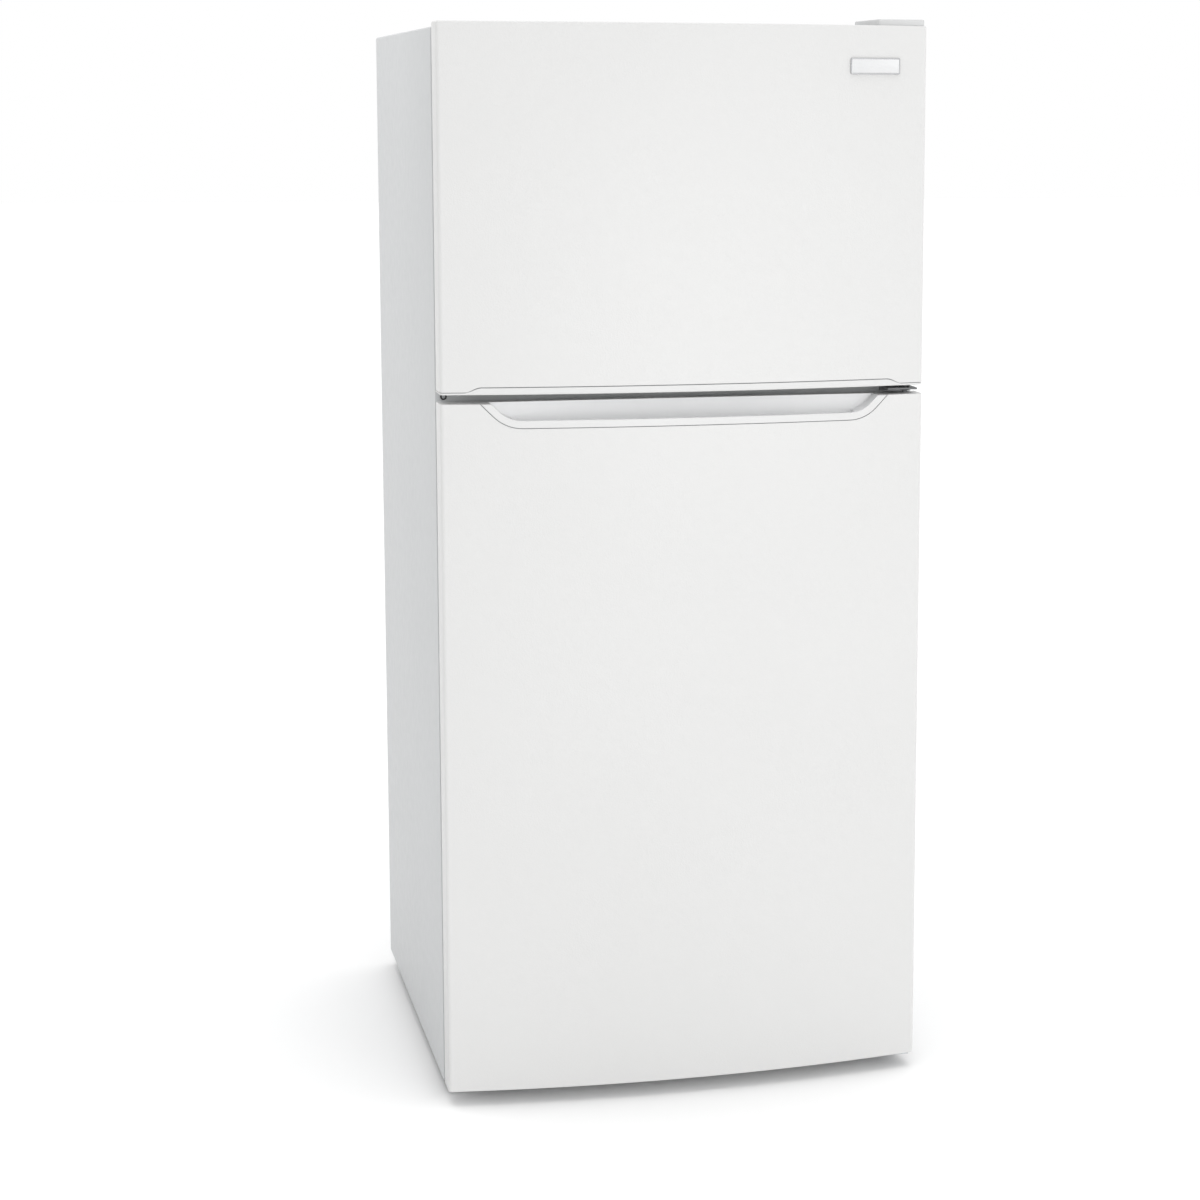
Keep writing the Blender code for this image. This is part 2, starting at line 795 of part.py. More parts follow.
def door_bin(name, low, high, back, floor_z, height, finish="white_plastic"):
    """Open tray on a door liner. Low and high are its ends along X."""
    front = DOOR_BACK + DOOR_FIT
    tray = block(name, (low, front, floor_z), (high, back, floor_z + height), finish)
    hollow = block(
        name + "_hollow",
        (low + BIN_WALL, front + BIN_WALL, floor_z + BIN_WALL),
        (high - BIN_WALL, back - BIN_WALL, floor_z + height + OVERSHOOT),
    )
    return cut(tray, hollow)


def freezer_door():
    skin = door_skin("freezer_door_skin", SKIN_EDGE_LOW, DOOR_TOP, True)
    edge = stepped_edge(SKIN_STEP_OUTER, SKIN_STEP_INNER, SKIN_EDGE_LOW - SHEET, SKIN_EDGE_HIGH, 1.11)
    cut(skin, prism("skin_edge_cut", edge, "Y", FRONT - OVERSHOOT, DOOR_SIDE_FRONT + 0.012))
    cut(skin, hinge_hole("skin_pin_hole", DOOR_TOP - 0.01, DOOR_TOP + 0.01))

    handle = door_core(
        "freezer_door_handle", FREEZER_DOOR_BOTTOM, FREEZER_HANDLE_TOP, "white_plastic"
    )
    back = DOOR_BACK - LINER - GAP
    lip = prism(
        "freezer_lip",
        bowed_outline(WIDTH / 2, 0.0, back),
        "Z",
        FREEZER_DOOR_BOTTOM,
        SKIN_EDGE_HIGH + 0.004,
    )
    step_shift = 3 * GAP
    lip_edge = stepped_edge(
        SKIN_STEP_OUTER - step_shift,
        SKIN_STEP_INNER - step_shift,
        SKIN_EDGE_LOW - SHEET,
        SKIN_EDGE_HIGH - GAP,
        1.11,
    )
    common(lip, prism("freezer_lip_front", lip_edge, "Y", FRONT - OVERSHOOT, BACK))
    join(handle, lip)
    grip = bowed_outline(FREEZER_GRIP_HALF, FREEZER_LIP, GRIP_BACK)
    cut(handle, prism("freezer_grip", grip, "Z", FREEZER_DOOR_BOTTOM - OVERSHOOT, FREEZER_GRIP_TOP))
    hollow = door_core("freezer_handle_hollow", FREEZER_DOOR_BOTTOM + PLASTIC, 1.17, None)
    inner = bowed_outline(WIDTH / 2 - 0.004, 0.004, back - PLASTIC)
    common(hollow, prism("freezer_hollow_limit", inner, "Z", 1.10, 1.20))
    wall = bowed_outline(FREEZER_GRIP_HALF + PLASTIC, FREEZER_LIP - PLASTIC, GRIP_BACK + PLASTIC)
    cut(hollow, prism("freezer_grip_wall", wall, "Z", 1.10, FREEZER_GRIP_TOP + PLASTIC))
    cut(handle, hollow)
    cut(handle, hinge_hole("handle_pin_hole", 1.11, 1.13))

    foam = door_core("freezer_door_foam", FREEZER_HANDLE_TOP + GAP, DOOR_TOP - SHEET - GAP, "foam")
    cut(foam, hinge_hole("foam_pin_hole", DOOR_TOP - 0.020, DOOR_TOP + 0.01))
    liner = door_liner(
        "freezer_door_liner",
        FREEZER_DOOR_BOTTOM + PANEL_INSET,
        DOOR_TOP - PANEL_INSET,
        FREEZER_DIKE_HALF,
        FREEZER_FLOOR + DIKE_MARGIN,
        FREEZER_CEILING - DIKE_MARGIN,
    )
    gasket = door_gasket("freezer_door_gasket", 1.134, 1.652)
    half = FREEZER_DIKE_HALF - DIKE_WIDTH - 0.001
    bins = [
        door_bin(f"freezer_door_{word}_bin", -half, half, FREEZER_BIN_BACK, *size)
        for word, size in FREEZER_BINS.items()
    ]
    pieces = [skin, handle, foam, liner, gasket, *bins, nameplate()]
    pivot("freezer_door_pivot", (HINGE_X, HINGE_Y, DOOR_TOP), pieces)


def nameplate():
    """Plain badge that lies on the bowed skin."""
    corner = Vector((BADGE_SIZE[0] / 2, BADGE_THICKNESS / 2, BADGE_SIZE[1] / 2))
    badge = block("nameplate", -corner, corner, "badge_metal")
    lean = math.asin(BADGE_X / BOW_RADIUS)
    out = Vector((math.sin(lean), -math.cos(lean), 0)) * (BADGE_THICKNESS / 2 + GAP)
    place = Vector((BADGE_X, bow_y(BADGE_X), BADGE_Z)) + out
    badge.matrix_world = Matrix.Translation(place) @ Matrix.Rotation(lean, 4, "Z")
    return badge


def fridge_handle():
    """Top moulding of the lower door, with the grip pocket in it."""
    back = DOOR_BACK - LINER - GAP
    handle = door_core("fridge_door_handle", HANDLE_BOTTOM, FRIDGE_DOOR_TOP, "white_plastic")
    plan = bowed_outline(WIDTH / 2, 0.0, back)
    lip = prism("fridge_lip", plan, "Z", HANDLE_BOTTOM, FRIDGE_DOOR_TOP)
    face = grip_outline(GRIP_LIP_R - GAP, FRIDGE_DOOR_TOP + OVERSHOOT)
    common(lip, prism("fridge_lip_front", face, "Y", FRONT - OVERSHOOT, BACK))
    join(handle, lip)

    mouth = grip_outline(GRIP_LIP_R - GRIP_LIP, FRIDGE_DOOR_TOP + OVERSHOOT)
    pocket = prism("grip_mouth", mouth, "Y", FRONT - OVERSHOOT, GRIP_BACK)
    well_half = GRIP_ARC_X + 0.012
    well = bowed_outline(well_half, LIP_THICKNESS, GRIP_BACK)
    join(pocket, prism("grip_well", well, "Z", GRIP_FLOOR, FRIDGE_DOOR_TOP + OVERSHOOT))
    cut(handle, pocket)

    hollow = prism(
        "handle_hollow",
        bowed_outline(WIDTH / 2 - 0.004, 0.004, back - PLASTIC),
        "Z",
        HANDLE_BOTTOM - OVERSHOOT,
        FRIDGE_DOOR_TOP - PLASTIC,
    )
    wall = grip_outline(GRIP_LIP_R - GRIP_LIP + PLASTIC, FRIDGE_DOOR_TOP + OVERSHOOT)
    cut(hollow, prism("grip_mouth_wall", wall, "Y", FRONT - 2 * OVERSHOOT, GRIP_BACK + PLASTIC))
    well_wall = bowed_outline(well_half + PLASTIC, LIP_THICKNESS - PLASTIC, GRIP_BACK + PLASTIC)
    cut(hollow, prism("grip_well_wall", well_wall, "Z", GRIP_FLOOR - PLASTIC, FRIDGE_DOOR_TOP + 0.02))
    cut(handle, hollow)
    return cut(handle, hinge_hole("top_hole", FRIDGE_DOOR_TOP - 0.01, FRIDGE_DOOR_TOP + 0.01))


def dairy_compartment():
    """Box with a flap on the door, at the top of the hinge's far side."""
    (low, floor), (high, top) = DAIRY_LOW, DAIRY_HIGH
    front = DOOR_BACK + DOOR_FIT
    mouth = BIN_BACK - 0.004
    box = block("dairy_box", (low, front, floor), (high, mouth, top), "clear_plastic")
    hollow = block(
        "dairy_hollow",
        (low + BIN_WALL, front + BIN_WALL, floor + BIN_WALL),
        (high - BIN_WALL, mouth + OVERSHOOT, top - BIN_WALL),
    )
    cut(box, hollow)
    axis_y = mouth + GAP + DAIRY_ROLL_R
    axis_z = top - DAIRY_ROLL_R
    middle = (low + high) / 2
    flap_back = mouth + 0.0005 + FLAP_THICKNESS
    flap = block(
        "dairy_door", (low, flap_back - FLAP_THICKNESS, floor), (high, flap_back, axis_z), "clear_plastic"
    )
    pull = block(
        "dairy_pull", (low + 0.1, flap_back - 0.0005, floor), (high - 0.1, BIN_BACK + 0.008, floor + 0.004)
    )
    join(flap, pull, cylinder("dairy_roll", (middle, axis_y, axis_z), "X", DAIRY_ROLL_R, high - low))
    pivot("dairy_door_pivot", (middle, axis_y, axis_z), [flap])
    return box


def fridge_door():
    skin = door_skin("fridge_door_skin", FRIDGE_DOOR_BOTTOM, FRIDGE_DOOR_TOP, False)
    face = grip_outline(GRIP_LIP_R, FRIDGE_DOOR_TOP + OVERSHOOT)
    cut(skin, prism("skin_grip_cut", face, "Y", FRONT - OVERSHOOT, DOOR_SIDE_FRONT + 0.012))
    foam = door_core("fridge_door_foam", 0.0455, HANDLE_BOTTOM - GAP, "foam")

    cap = door_core("fridge_door_bottom_cap", FRIDGE_DOOR_BOTTOM, 0.045, "white_plastic")
    back = DOOR_BACK - LINER - GAP
    inner = bowed_outline(WIDTH / 2 - 0.004, 0.004, back - PLASTIC)
    cut(cap, prism("cap_hollow", inner, "Z", FRIDGE_DOOR_BOTTOM + PLASTIC, 0.06))
    cut(cap, hinge_hole("bottom_hole", 0.015, 0.035))

    liner = door_liner(
        "fridge_door_liner",
        FRIDGE_DOOR_BOTTOM + PANEL_INSET,
        FRIDGE_DOOR_TOP - PANEL_INSET,
        FRIDGE_DIKE_HALF,
        FRIDGE_FLOOR + DIKE_MARGIN,
        FRIDGE_CEILING - DIKE_MARGIN,
    )
    gasket = door_gasket("fridge_door_gasket", 0.075, 1.093)
    half = FRIDGE_DIKE_HALF - DIKE_WIDTH - 0.001
    left_ends = {"lower": -half, "middle": -half, "upper": -DAIRY_HIGH[0]}
    bins = [
        door_bin(f"fridge_door_{word}_bin", left_ends[word], half, BIN_BACK, *size)
        for word, size in FRIDGE_BINS.items()
    ]
    pieces = [skin, foam, fridge_handle(), cap, liner, gasket, *bins]
    pieces.append(dairy_compartment())
    pieces.append(bpy.data.objects["dairy_door_pivot"])
    pivot("fridge_door_pivot", (HINGE_X, HINGE_Y, FRIDGE_DOOR_TOP), pieces)


# ---- inside the compartments ---------------------------------------------------------------------
def shelf(name, half, bottom, finish="shelf_glass"):
    """Framed glass shelf: a rim with the pane set into it."""
    top = bottom + SHELF_THICKNESS
    panel = block(name, (-half, SHELF_FRONT, bottom), (half, SHELF_BACK, top), finish)
    recess = block(
        name + "_recess",
        (-half + SHELF_RIM, SHELF_FRONT + SHELF_RIM, bottom - OVERSHOOT),
        (half - SHELF_RIM, SHELF_BACK - SHELF_RIM, top - 0.006),
    )
    return cut(panel, recess)


def crisper(word, low, high):
    name = f"crisper_{word}"
    bottom = FRIDGE_FLOOR + 0.003
    back = STEP_FRONT - 0.007
    wall_back = SHELF_FRONT + CRISPER_FRONT_WALL
    tray = block(name, (low, wall_back - 0.004, bottom), (high, back, CRISPER_TOP), "clear_plastic")
    front = block(f"{name}_front", (low, SHELF_FRONT, bottom), (high, wall_back, CRISPER_TOP + 0.006))
    join(tray, front)
    hollow = block(
        f"{name}_hollow",
        (low + BIN_WALL, wall_back + BIN_WALL, bottom + BIN_WALL),
        (high - BIN_WALL, back - BIN_WALL, CRISPER_TOP + 2 * OVERSHOOT),
    )
    middle = (low + high) / 2
    scoop_half = 0.055
    scoop = block(
        f"{name}_scoop",
        (middle - scoop_half, SHELF_FRONT - OVERSHOOT, CRISPER_TOP - 0.030),
        (middle + scoop_half, SHELF_FRONT + 0.010, CRISPER_TOP - 0.006),
    )
    cut(tray, hollow, scoop)


def fresh_food_fittings():
    half = FRIDGE_HALF - 0.003
    shelf("lower_glass_shelf", half, LOWER_SHELF)
    shelf("upper_glass_shelf", half, UPPER_SHELF)
    shelf("crisper_cover", half, CRISPER_COVER)
    crisper("left", -CRISPER_OUTER, -CRISPER_INNER)
    crisper("right", CRISPER_INNER, CRISPER_OUTER)
    for side, word in ((-1, "left"), (1, "right")):
        x = side * 0.165
        block(
            f"humidity_slider_{word}",
            (x - 0.020, SHELF_FRONT - 0.0045, CRISPER_COVER + 0.003),
            (x - 0.002, SHELF_FRONT - GAP, CRISPER_COVER + 0.012),
            "grey_plastic",
        )

    controls()


def controls():
    """Housing under the ceiling, with the dial, the lamp's cover and the door switch."""
    housing = block(
        "control_housing",
        (HOUSING_LEFT, HOUSING_FRONT, HOUSING_BOTTOM),
        (HOUSING_RIGHT, HOUSING_BACK, FRIDGE_CEILING - GAP),
        "white_plastic",
    )
    cylinder("fridge_control_knob", FRIDGE_KNOB, "Z", FRIDGE_KNOB_R, KNOB_HEIGHT, "white_plastic", 24)
    lamp = block("light_cover", LAMP_LOW, LAMP_HIGH, "clear_plastic")
    wall = Vector((LAMP_WALL, LAMP_WALL, LAMP_WALL))
    lamp_top = Vector(LAMP_HIGH) - wall + Vector((0, 0, 2 * OVERSHOOT))
    cut(lamp, block("lamp_hollow", Vector(LAMP_LOW) + wall, lamp_top))

    bore_depth = 0.012
    bore = cylinder(
        "plunger_bore",
        (PLUNGER_X, HOUSING_FRONT, PLUNGER_Z),
        "Y",
        PLUNGER_R + 0.0006,
        2 * bore_depth,
        sides=24,
    )
    cut(housing, bore)
    tip = DOOR_BACK + DIKE + GAP
    length = HOUSING_FRONT + bore_depth - SHEET - tip
    cylinder(
        "light_switch_plunger",
        (PLUNGER_X, tip + length / 2, PLUNGER_Z),
        "Y",
        PLUNGER_R,
        length,
        "grey_plastic",
        12,
    )


def freezer_fittings():
    half = FREEZER_HALF - 0.003
    front, back = -0.165, 0.250
    frame = 0.006
    rack_top = FREEZER_SHELF + FREEZER_SHELF_THICKNESS
    rack = block("freezer_shelf", (-half, front, FREEZER_SHELF), (half, back, rack_top), "white_paint")
    pitch = (2 * half - 2 * frame) / FREEZER_SHELF_BARS
    reach = pitch / 2 - frame / 2
    for i in range(FREEZER_SHELF_BARS):
        x = -half + frame + pitch * (i + 0.5)
        low = (x - reach, front + 0.010, FREEZER_SHELF - OVERSHOOT)
        high = (x + reach, back - 0.010, rack_top + OVERSHOOT)
        cut(rack, block(f"rack_slot_{i}", low, high))

    duct_back = DUCT_FRONT + PLASTIC
    cover = block(
        "evaporator_cover",
        (-half, DUCT_FRONT, FREEZER_FLOOR + 0.0005),
        (half, duct_back, FREEZER_CEILING - 0.0005),
        "liner_plastic",
    )
    through = (DUCT_FRONT - OVERSHOOT, duct_back + OVERSHOOT)
    for i in range(5):
        z = 1.430 + 0.018 * i
        cut(cover, block(f"air_slot_{i}", (-0.075, through[0], z), (0.075, through[1], z + 0.008)))
    for i in range(12):
        x = -0.275 + 0.050 * i
        low = (x - 0.019, through[0], 1.160)
        cut(cover, block(f"return_slot_{i}", low, (x + 0.019, through[1], 1.170)))
    cylinder("freezer_control_knob", FREEZER_KNOB, "Y", FREEZER_KNOB_R, KNOB_HEIGHT, "white_plastic", 24)
    evaporator()


def evaporator():
    coil = block("evaporator", EVAPORATOR_LOW, EVAPORATOR_HIGH, "aluminium")
    _, front, bottom = EVAPORATOR_LOW
    right, back, top = EVAPORATOR_HIGH
    fins = int((2 * right - 0.010) / FIN_PITCH)
    for i in range(fins):
        x = FIN_PITCH * (i - (fins - 1) / 2)
        low = (x - 0.007, front - OVERSHOOT, bottom - OVERSHOOT)
        cut(coil, block(f"fin_slot_{i}", low, (x + 0.007, back - 0.010, top + OVERSHOOT)))

    motor = cylinder("evaporator_fan_motor", (0, 0.3135, DUCT_FAN_Z), "Y", 0.022, 0.025, "black_paint")
    half = 0.015
    low = (-0.055, 0.320, DUCT_FAN_Z - half)
    high = (0.055, 0.3265, DUCT_FAN_Z + half)
    shaft = cylinder("evaporator_shaft", (0, 0.2905, DUCT_FAN_Z), "Y", 0.002, 0.025, sides=8)
    join(motor, block("motor_bracket", low, high), shaft)
    fan("evaporator_fan", (0, DUCT_FAN_Y, DUCT_FAN_Z), "Y", 0.046, 0.010)


def fan(name, centre, axis, radius, depth):
    """Axial fan: a hub with a shaft hole and five pitched blades."""
    turn = AXIS_TURNS[axis].to_4x4()
    hub = cylinder(name, centre, axis, radius * 0.26, depth, "grey_plastic")
    blades = 5
    chord = radius * 0.16
    for i in range(blades):
        blade = block(f"{name}_blade_{i}", (0, -chord, -0.0008), (radius * 0.86, chord, 0.0008))
        reach = Matrix.Translation((radius * 0.57, 0, 0)) @ Matrix.Rotation(math.radians(28), 4, "X")
        spin = Matrix.Rotation(math.tau * i / blades, 4, "Z")
        blade.matrix_world = Matrix.Translation(centre) @ turn @ spin @ reach
        join(hub, blade)
    cut(hub, cylinder(name + "_bore", centre, axis, 0.0024, depth * 2, sides=12))
    return hub


# ---- machine compartment -------------------------------------------------------------------------
def machine_compartment():
    x, y, z = PUMP
    profile = [
        (0, z + 0.178),
        (0.030, z + 0.174),
        (0.052, z + 0.158),
        (0.062, z + 0.130),
        (0.062, z + 0.095),
        (0.066, z + 0.090),
        (0.062, z + 0.085),
        (0.062, z + 0.040),
        (0.050, z + 0.016),
        (0.028, z + 0.006),
        (0, z + 0.005),
    ]
    pump = turned("compressor", profile, (x, y, 0), "Z", "black_paint", 20)
    join(pump, block("compressor_feet", (x - 0.077, y - 0.070, z), (x + 0.077, y + 0.070, z + 0.007)))

    x, y, z = BLOWER
    fan("condenser_fan", BLOWER, "X", 0.070, 0.014)
    motor = cylinder("condenser_fan_motor", (BLOWER_MOTOR_X, y, z), "X", 0.026, 0.040, "black_paint")
    shaft = cylinder("condenser_shaft", (x + 0.010, y, z), "X", 0.002, 0.034, sides=8)
    post_low = (BLOWER_MOTOR_X - 0.008, y - 0.010, PAN_TOP + GAP)
    post_high = (BLOWER_MOTOR_X + 0.008, y + 0.010, z - 0.010)
    join(motor, shaft, block("condenser_fan_post", post_low, post_high))

    low = Vector((*DRAIN_LOW, PAN_TOP + GAP))
    high = Vector((*DRAIN_HIGH, DRAIN_TOP))
    pan = block("drain_pan", low, high, "black_paint")
    inside = Vector((0.002, 0.002, 0.0027))
    cut(pan, block("drain_hollow", low + inside, high + Vector((-0.002, -0.002, 2 * OVERSHOOT))))
    tube("condenser", condenser_route(), 0.0032, "black_paint")
    machine_cover()


def machine_cover():
    """Vented panel over the machine space, with the gland where the cord comes out."""
    rear = COVER_PANEL_Y
    cover = block(
        "machine_cover",
        (-COVER_PANEL_HALF, rear - 0.002, 0.030),
        (COVER_PANEL_HALF, rear, MACHINE_TOP - 0.002),
        "grey_plastic",
    )
    for row in range(3):
        for column in range(9):
            x = -0.300 + 0.060 * column
            z = 0.120 + 0.045 * row
            cut(cover, block(f"vent_{row}_{column}", (x, rear - 0.02, z), (x + 0.045, BACK, z + 0.010)))
    place = (CORD[0], rear, CORD[1])
    cut(cover, cylinder("cord_hole", place, "Y", 0.0083, 0.02))
    profile = [
        (0, 0.005),
        (0.011, 0.005),
        (0.011, GAP),
        (0.008, GAP),
        (0.008, -0.010),
        (0, -0.010),
    ]
    gland = turned("power_cord_gland", profile, place, "Y", "black_rubber", 16)
    gland.rotation_euler.x += math.pi


def condenser_route():
    """Tube that runs to and fro in upright layers, in front of the fan."""
    points = []
    for layer in range(COIL_LAYERS):
        y = 0.190 + 0.045 * layer
        levels = [0.090 + 0.030 * i for i in range(COIL_LEVELS)]
        if layer % 2:
            levels.reverse()
        for n, z in enumerate(levels):
            ends = [COIL_LEFT, COIL_RIGHT] if (n + layer) % 2 == 0 else [COIL_RIGHT, COIL_LEFT]
            points += [(x, y, z) for x in ends]
    return points


def build():
    cabinet_shell()
    cabinet_foam()
    liners()
    base()
    hinges()
    freezer_door()
    fridge_door()
    fresh_food_fittings()
    freezer_fittings()
    machine_compartment()


build()
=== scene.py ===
"""The looks of the top freezer refrigerator: its pieces, finishes, light and camera.

Everything is in metres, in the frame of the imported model. The doors face -Y and hinge at +X.
"""

import math

import bmesh
import bpy
from mathutils import Matrix, Vector


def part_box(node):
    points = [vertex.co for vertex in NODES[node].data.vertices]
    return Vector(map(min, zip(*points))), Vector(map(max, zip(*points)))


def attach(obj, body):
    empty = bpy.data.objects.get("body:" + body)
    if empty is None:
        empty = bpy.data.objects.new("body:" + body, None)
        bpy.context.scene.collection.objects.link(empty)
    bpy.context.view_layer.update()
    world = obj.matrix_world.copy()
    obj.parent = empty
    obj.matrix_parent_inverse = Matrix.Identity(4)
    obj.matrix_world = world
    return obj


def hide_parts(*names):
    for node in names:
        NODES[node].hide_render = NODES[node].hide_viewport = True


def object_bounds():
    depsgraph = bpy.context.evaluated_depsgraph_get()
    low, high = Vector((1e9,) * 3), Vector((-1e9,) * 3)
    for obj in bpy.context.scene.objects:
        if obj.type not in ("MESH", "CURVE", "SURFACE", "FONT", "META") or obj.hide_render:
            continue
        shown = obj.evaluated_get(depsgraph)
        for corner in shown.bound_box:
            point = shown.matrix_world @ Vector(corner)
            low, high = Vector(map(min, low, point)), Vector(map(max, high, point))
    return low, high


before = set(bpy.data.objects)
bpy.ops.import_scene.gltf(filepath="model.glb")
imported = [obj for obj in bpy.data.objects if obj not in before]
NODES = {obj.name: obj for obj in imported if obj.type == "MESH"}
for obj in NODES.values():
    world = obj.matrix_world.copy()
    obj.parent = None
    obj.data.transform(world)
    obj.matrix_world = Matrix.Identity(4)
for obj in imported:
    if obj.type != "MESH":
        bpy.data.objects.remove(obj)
CAD_LOW, CAD_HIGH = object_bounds()

# ---- driving dimensions -------------------------------------------------------------------------
GAP = 0.0003
SHEET = 0.001
WALL = 0.0025
FAR = 0.02
SEAM = 0.0009
STEP_SEAM = 0.0014
BOW = 0.0294
CORNER_R = 0.006
SKIN_EDGE_R = 0.0028
SKIN_CUT = 0.012
GRIP_ARC_X = 0.258
GRIP_ARC_Z = 1.1312
GRIP_LIP_R = 0.062
GRIP_LIP = 0.011
GRIP_SLOPE = math.radians(45)
GRIP_BACK = -0.336
STEP_OUTER = 0.347
STEP_INNER = 0.320
STEP_DROP = 0.0178
HINGE_X, HINGE_Y = 0.359, -0.33335
PIN_HOLE_R = 0.0047
CAMERA_PLACE = (-0.937, -4.333, 1.549)
CAMERA_LENS = 79.98
CAMERA_YAW = -14.42
CAMERA_PITCH = -8.50
CAMERA_ROLL = 0.214
CAMERA_SHIFT = (-0.1167, -0.0775)
LEFT_LIGHT = 0.55


# ---- materials ----------------------------------------------------------------------------------
FINE = (12, 2), None, (0.00004, 1400, 1)
# Name, roughness, metallic, two colours, then three noises, each ending with its scale, detail
# and any stretch: one mixes the colours, one spreads the roughness between two values, and one
# is a grain of some height.
# The cabinet's enamel row is the doors' white enamel made darker: painted shade on the cabinet's
# sides.
FINISHES = (("door_enamel", 0.36, 0, (0.685, 0.685, 0.68), (0.691, 0.691, 0.686), (3, 2),
    (0.33, 0.42, 60, 3), (0.00022, 420, 1)), ("cabinet_enamel", 0.42, 0, (0.56, 0.571, 0.577),
    (0.567, 0.578, 0.584), (3, 2), (0.38, 0.48, 60, 3), (0.00025, 420, 1)),
    ("white_moulding", 0.30, 0, (0.77, 0.776, 0.776), (0.76, 0.767, 0.767), *FINE),
    ("lip_moulding", 0.34, 0, (0.69, 0.692, 0.688), (0.684, 0.686, 0.682), *FINE),
    # This row is the lip moulding made lighter: painted light inside the grip's pocket, standing in
    # for light reaching into it.
    ("pocket_moulding", 0.35, 0, (0.93, 0.934, 0.938), (0.92, 0.925, 0.93), *FINE),
    ("cover_moulding", 0.34, 0, (0.63, 0.635, 0.635), (0.62, 0.626, 0.626), *FINE),
    # The centre hinge's dark enamel is painted shade of the gap between the doors.
    ("hinge_enamel", 0.45, 0, (0.20, 0.205, 0.21), (0.18, 0.185, 0.19), (40, 2), None,
    (0.00006, 600, 2)), ("liner_moulding", 0.24, 0, (0.82, 0.828, 0.825), (0.814, 0.822, 0.82),
    (4, 2), (0.22, 0.27, 8, 3), (0.00003, 160, 1)),
    ("gasket_vinyl", 0.55, 0, (0.66, 0.67, 0.665), (0.63, 0.64, 0.635), (40, 2), None,
    (0.00005, 900, 2)), ("crisper_plastic", 0.12, 0, (0.84, 0.90, 0.93), (0.83, 0.89, 0.92),
    (20, 2), None, (0.0001, 35, 1)), ("shelf_glass", 0.04, 0, (0.74, 0.88, 0.84),
    (0.73, 0.87, 0.83), (9, 2), None, (0.00005, 9, 1)),
    ("lamp_lens", 0.3, 0, (0.93, 0.94, 0.92), (0.91, 0.92, 0.90), (60, 2), None, (0.0001, 300, 1)),
    ("zinc_steel", 0.40, 0.75, (0.54, 0.555, 0.57), (0.49, 0.505, 0.52), (160, 1),
    (0.36, 0.48, 200, 1), None), ("steel_wire", 0.3, 0, (0.87, 0.875, 0.87), (0.85, 0.855, 0.85),
    (30, 2), None, (0.00003, 600, 2)), ("grey_moulding", 0.5, 0, (0.40, 0.41, 0.42),
    (0.37, 0.38, 0.39), (30, 2), None, (0.00006, 1100, 2)),
    ("black_enamel", 0.4, 0, (0.022, 0.022, 0.024), (0.03, 0.03, 0.032), (20, 2), None,
    (0.0002, 380, 2)), ("black_rubber", 0.75, 0, (0.03, 0.03, 0.03), (0.045, 0.045, 0.045), (60, 2),
    None, (0.00008, 800, 2)), ("fin_aluminium", 0.32, 1, (0.76, 0.77, 0.78), (0.70, 0.71, 0.72),
    (30, 2), (0.25, 0.45, 140, 3), None), ("badge_face", 0.3, 0.2, (0.72, 0.725, 0.73),
    (0.71, 0.715, 0.72), (40, 1, (1, 1, 40)), None, None),
    ("badge_metal", 0.3, 0.5, (0.50, 0.505, 0.515), (0.48, 0.485, 0.495), (40, 1, (1, 1, 40)),
    (0.2, 0.26, 60, 1, (1, 1, 30)), None), ("foam", 0.9, 0, (0.86, 0.77, 0.52), (0.80, 0.69, 0.42),
    (18, 2), None, (0.0006, 260, 2)), ("mark_ink", 0.5, 0, (0.25, 0.27, 0.30), (0.22, 0.24, 0.27),
    (90, 2), None, None), ("floor", 0.9, 0, (0.96, 0.96, 0.96), None, None, None, None))
# Alpha and IOR
CLEAR = {"crisper_plastic": (0.42, 1.49), "shelf_glass": (0.3, 1.5), "lamp_lens": (0.75, 1.49)}


def set_inputs(node, **values):
    """Sets a node's input sockets, named with _ for a space."""
    for socket, value in values.items():
        node.inputs[socket.replace("_", " ")].default_value = value


def make_finish(name, roughness, metallic, colour, other, vary, mottle, grain):
    """A Principled material whose colour, roughness and surface vary with noise."""
    material = bpy.data.materials.new(name)
    material.use_nodes = True
    nodes, links = material.node_tree.nodes, material.node_tree.links
    shader = nodes["Principled BSDF"]
    set_inputs(shader, Base_Color=(*colour, 1), Roughness=roughness, Metallic=metallic)
    if name in CLEAR:
        set_inputs(shader, Alpha=CLEAR[name][0], IOR=CLEAR[name][1])

    def noise(target, scale, detail, stretch=(1, 1, 1)):
        place = nodes.new("ShaderNodeTexCoord")
        mapping = nodes.new("ShaderNodeMapping")
        texture = nodes.new("ShaderNodeTexNoise")
        set_inputs(mapping, Scale=stretch)
        set_inputs(texture, Scale=scale, Detail=detail)
        links.new(place.outputs["Object"], mapping.inputs["Vector"])
        links.new(mapping.outputs["Vector"], texture.inputs["Vector"])
        links.new(texture.outputs["Fac"], target)

    if vary:
        ramp = nodes.new("ShaderNodeValToRGB")
        for end, place, tint in zip(ramp.color_ramp.elements, (0.35, 0.65), (colour, other)):
            end.position, end.color = place, (*tint, 1)
        noise(ramp.inputs["Fac"], *vary)
        links.new(ramp.outputs["Color"], shader.inputs["Base Color"])
    if mottle:
        low, high, *shape = mottle
        spread = nodes.new("ShaderNodeMapRange")
        set_inputs(spread, From_Min=0.3, From_Max=0.7, To_Min=low, To_Max=high)
        noise(spread.inputs["Value"], *shape)
        links.new(spread.outputs["Result"], shader.inputs["Roughness"])
    if grain:
        height, *shape = grain
        bump = nodes.new("ShaderNodeBump")
        set_inputs(bump, Distance=height)
        noise(bump.inputs["Height"], *shape)
        links.new(bump.outputs["Normal"], shader.inputs["Normal"])
    return material


FINISH = {row[0]: make_finish(*row) for row in FINISHES}


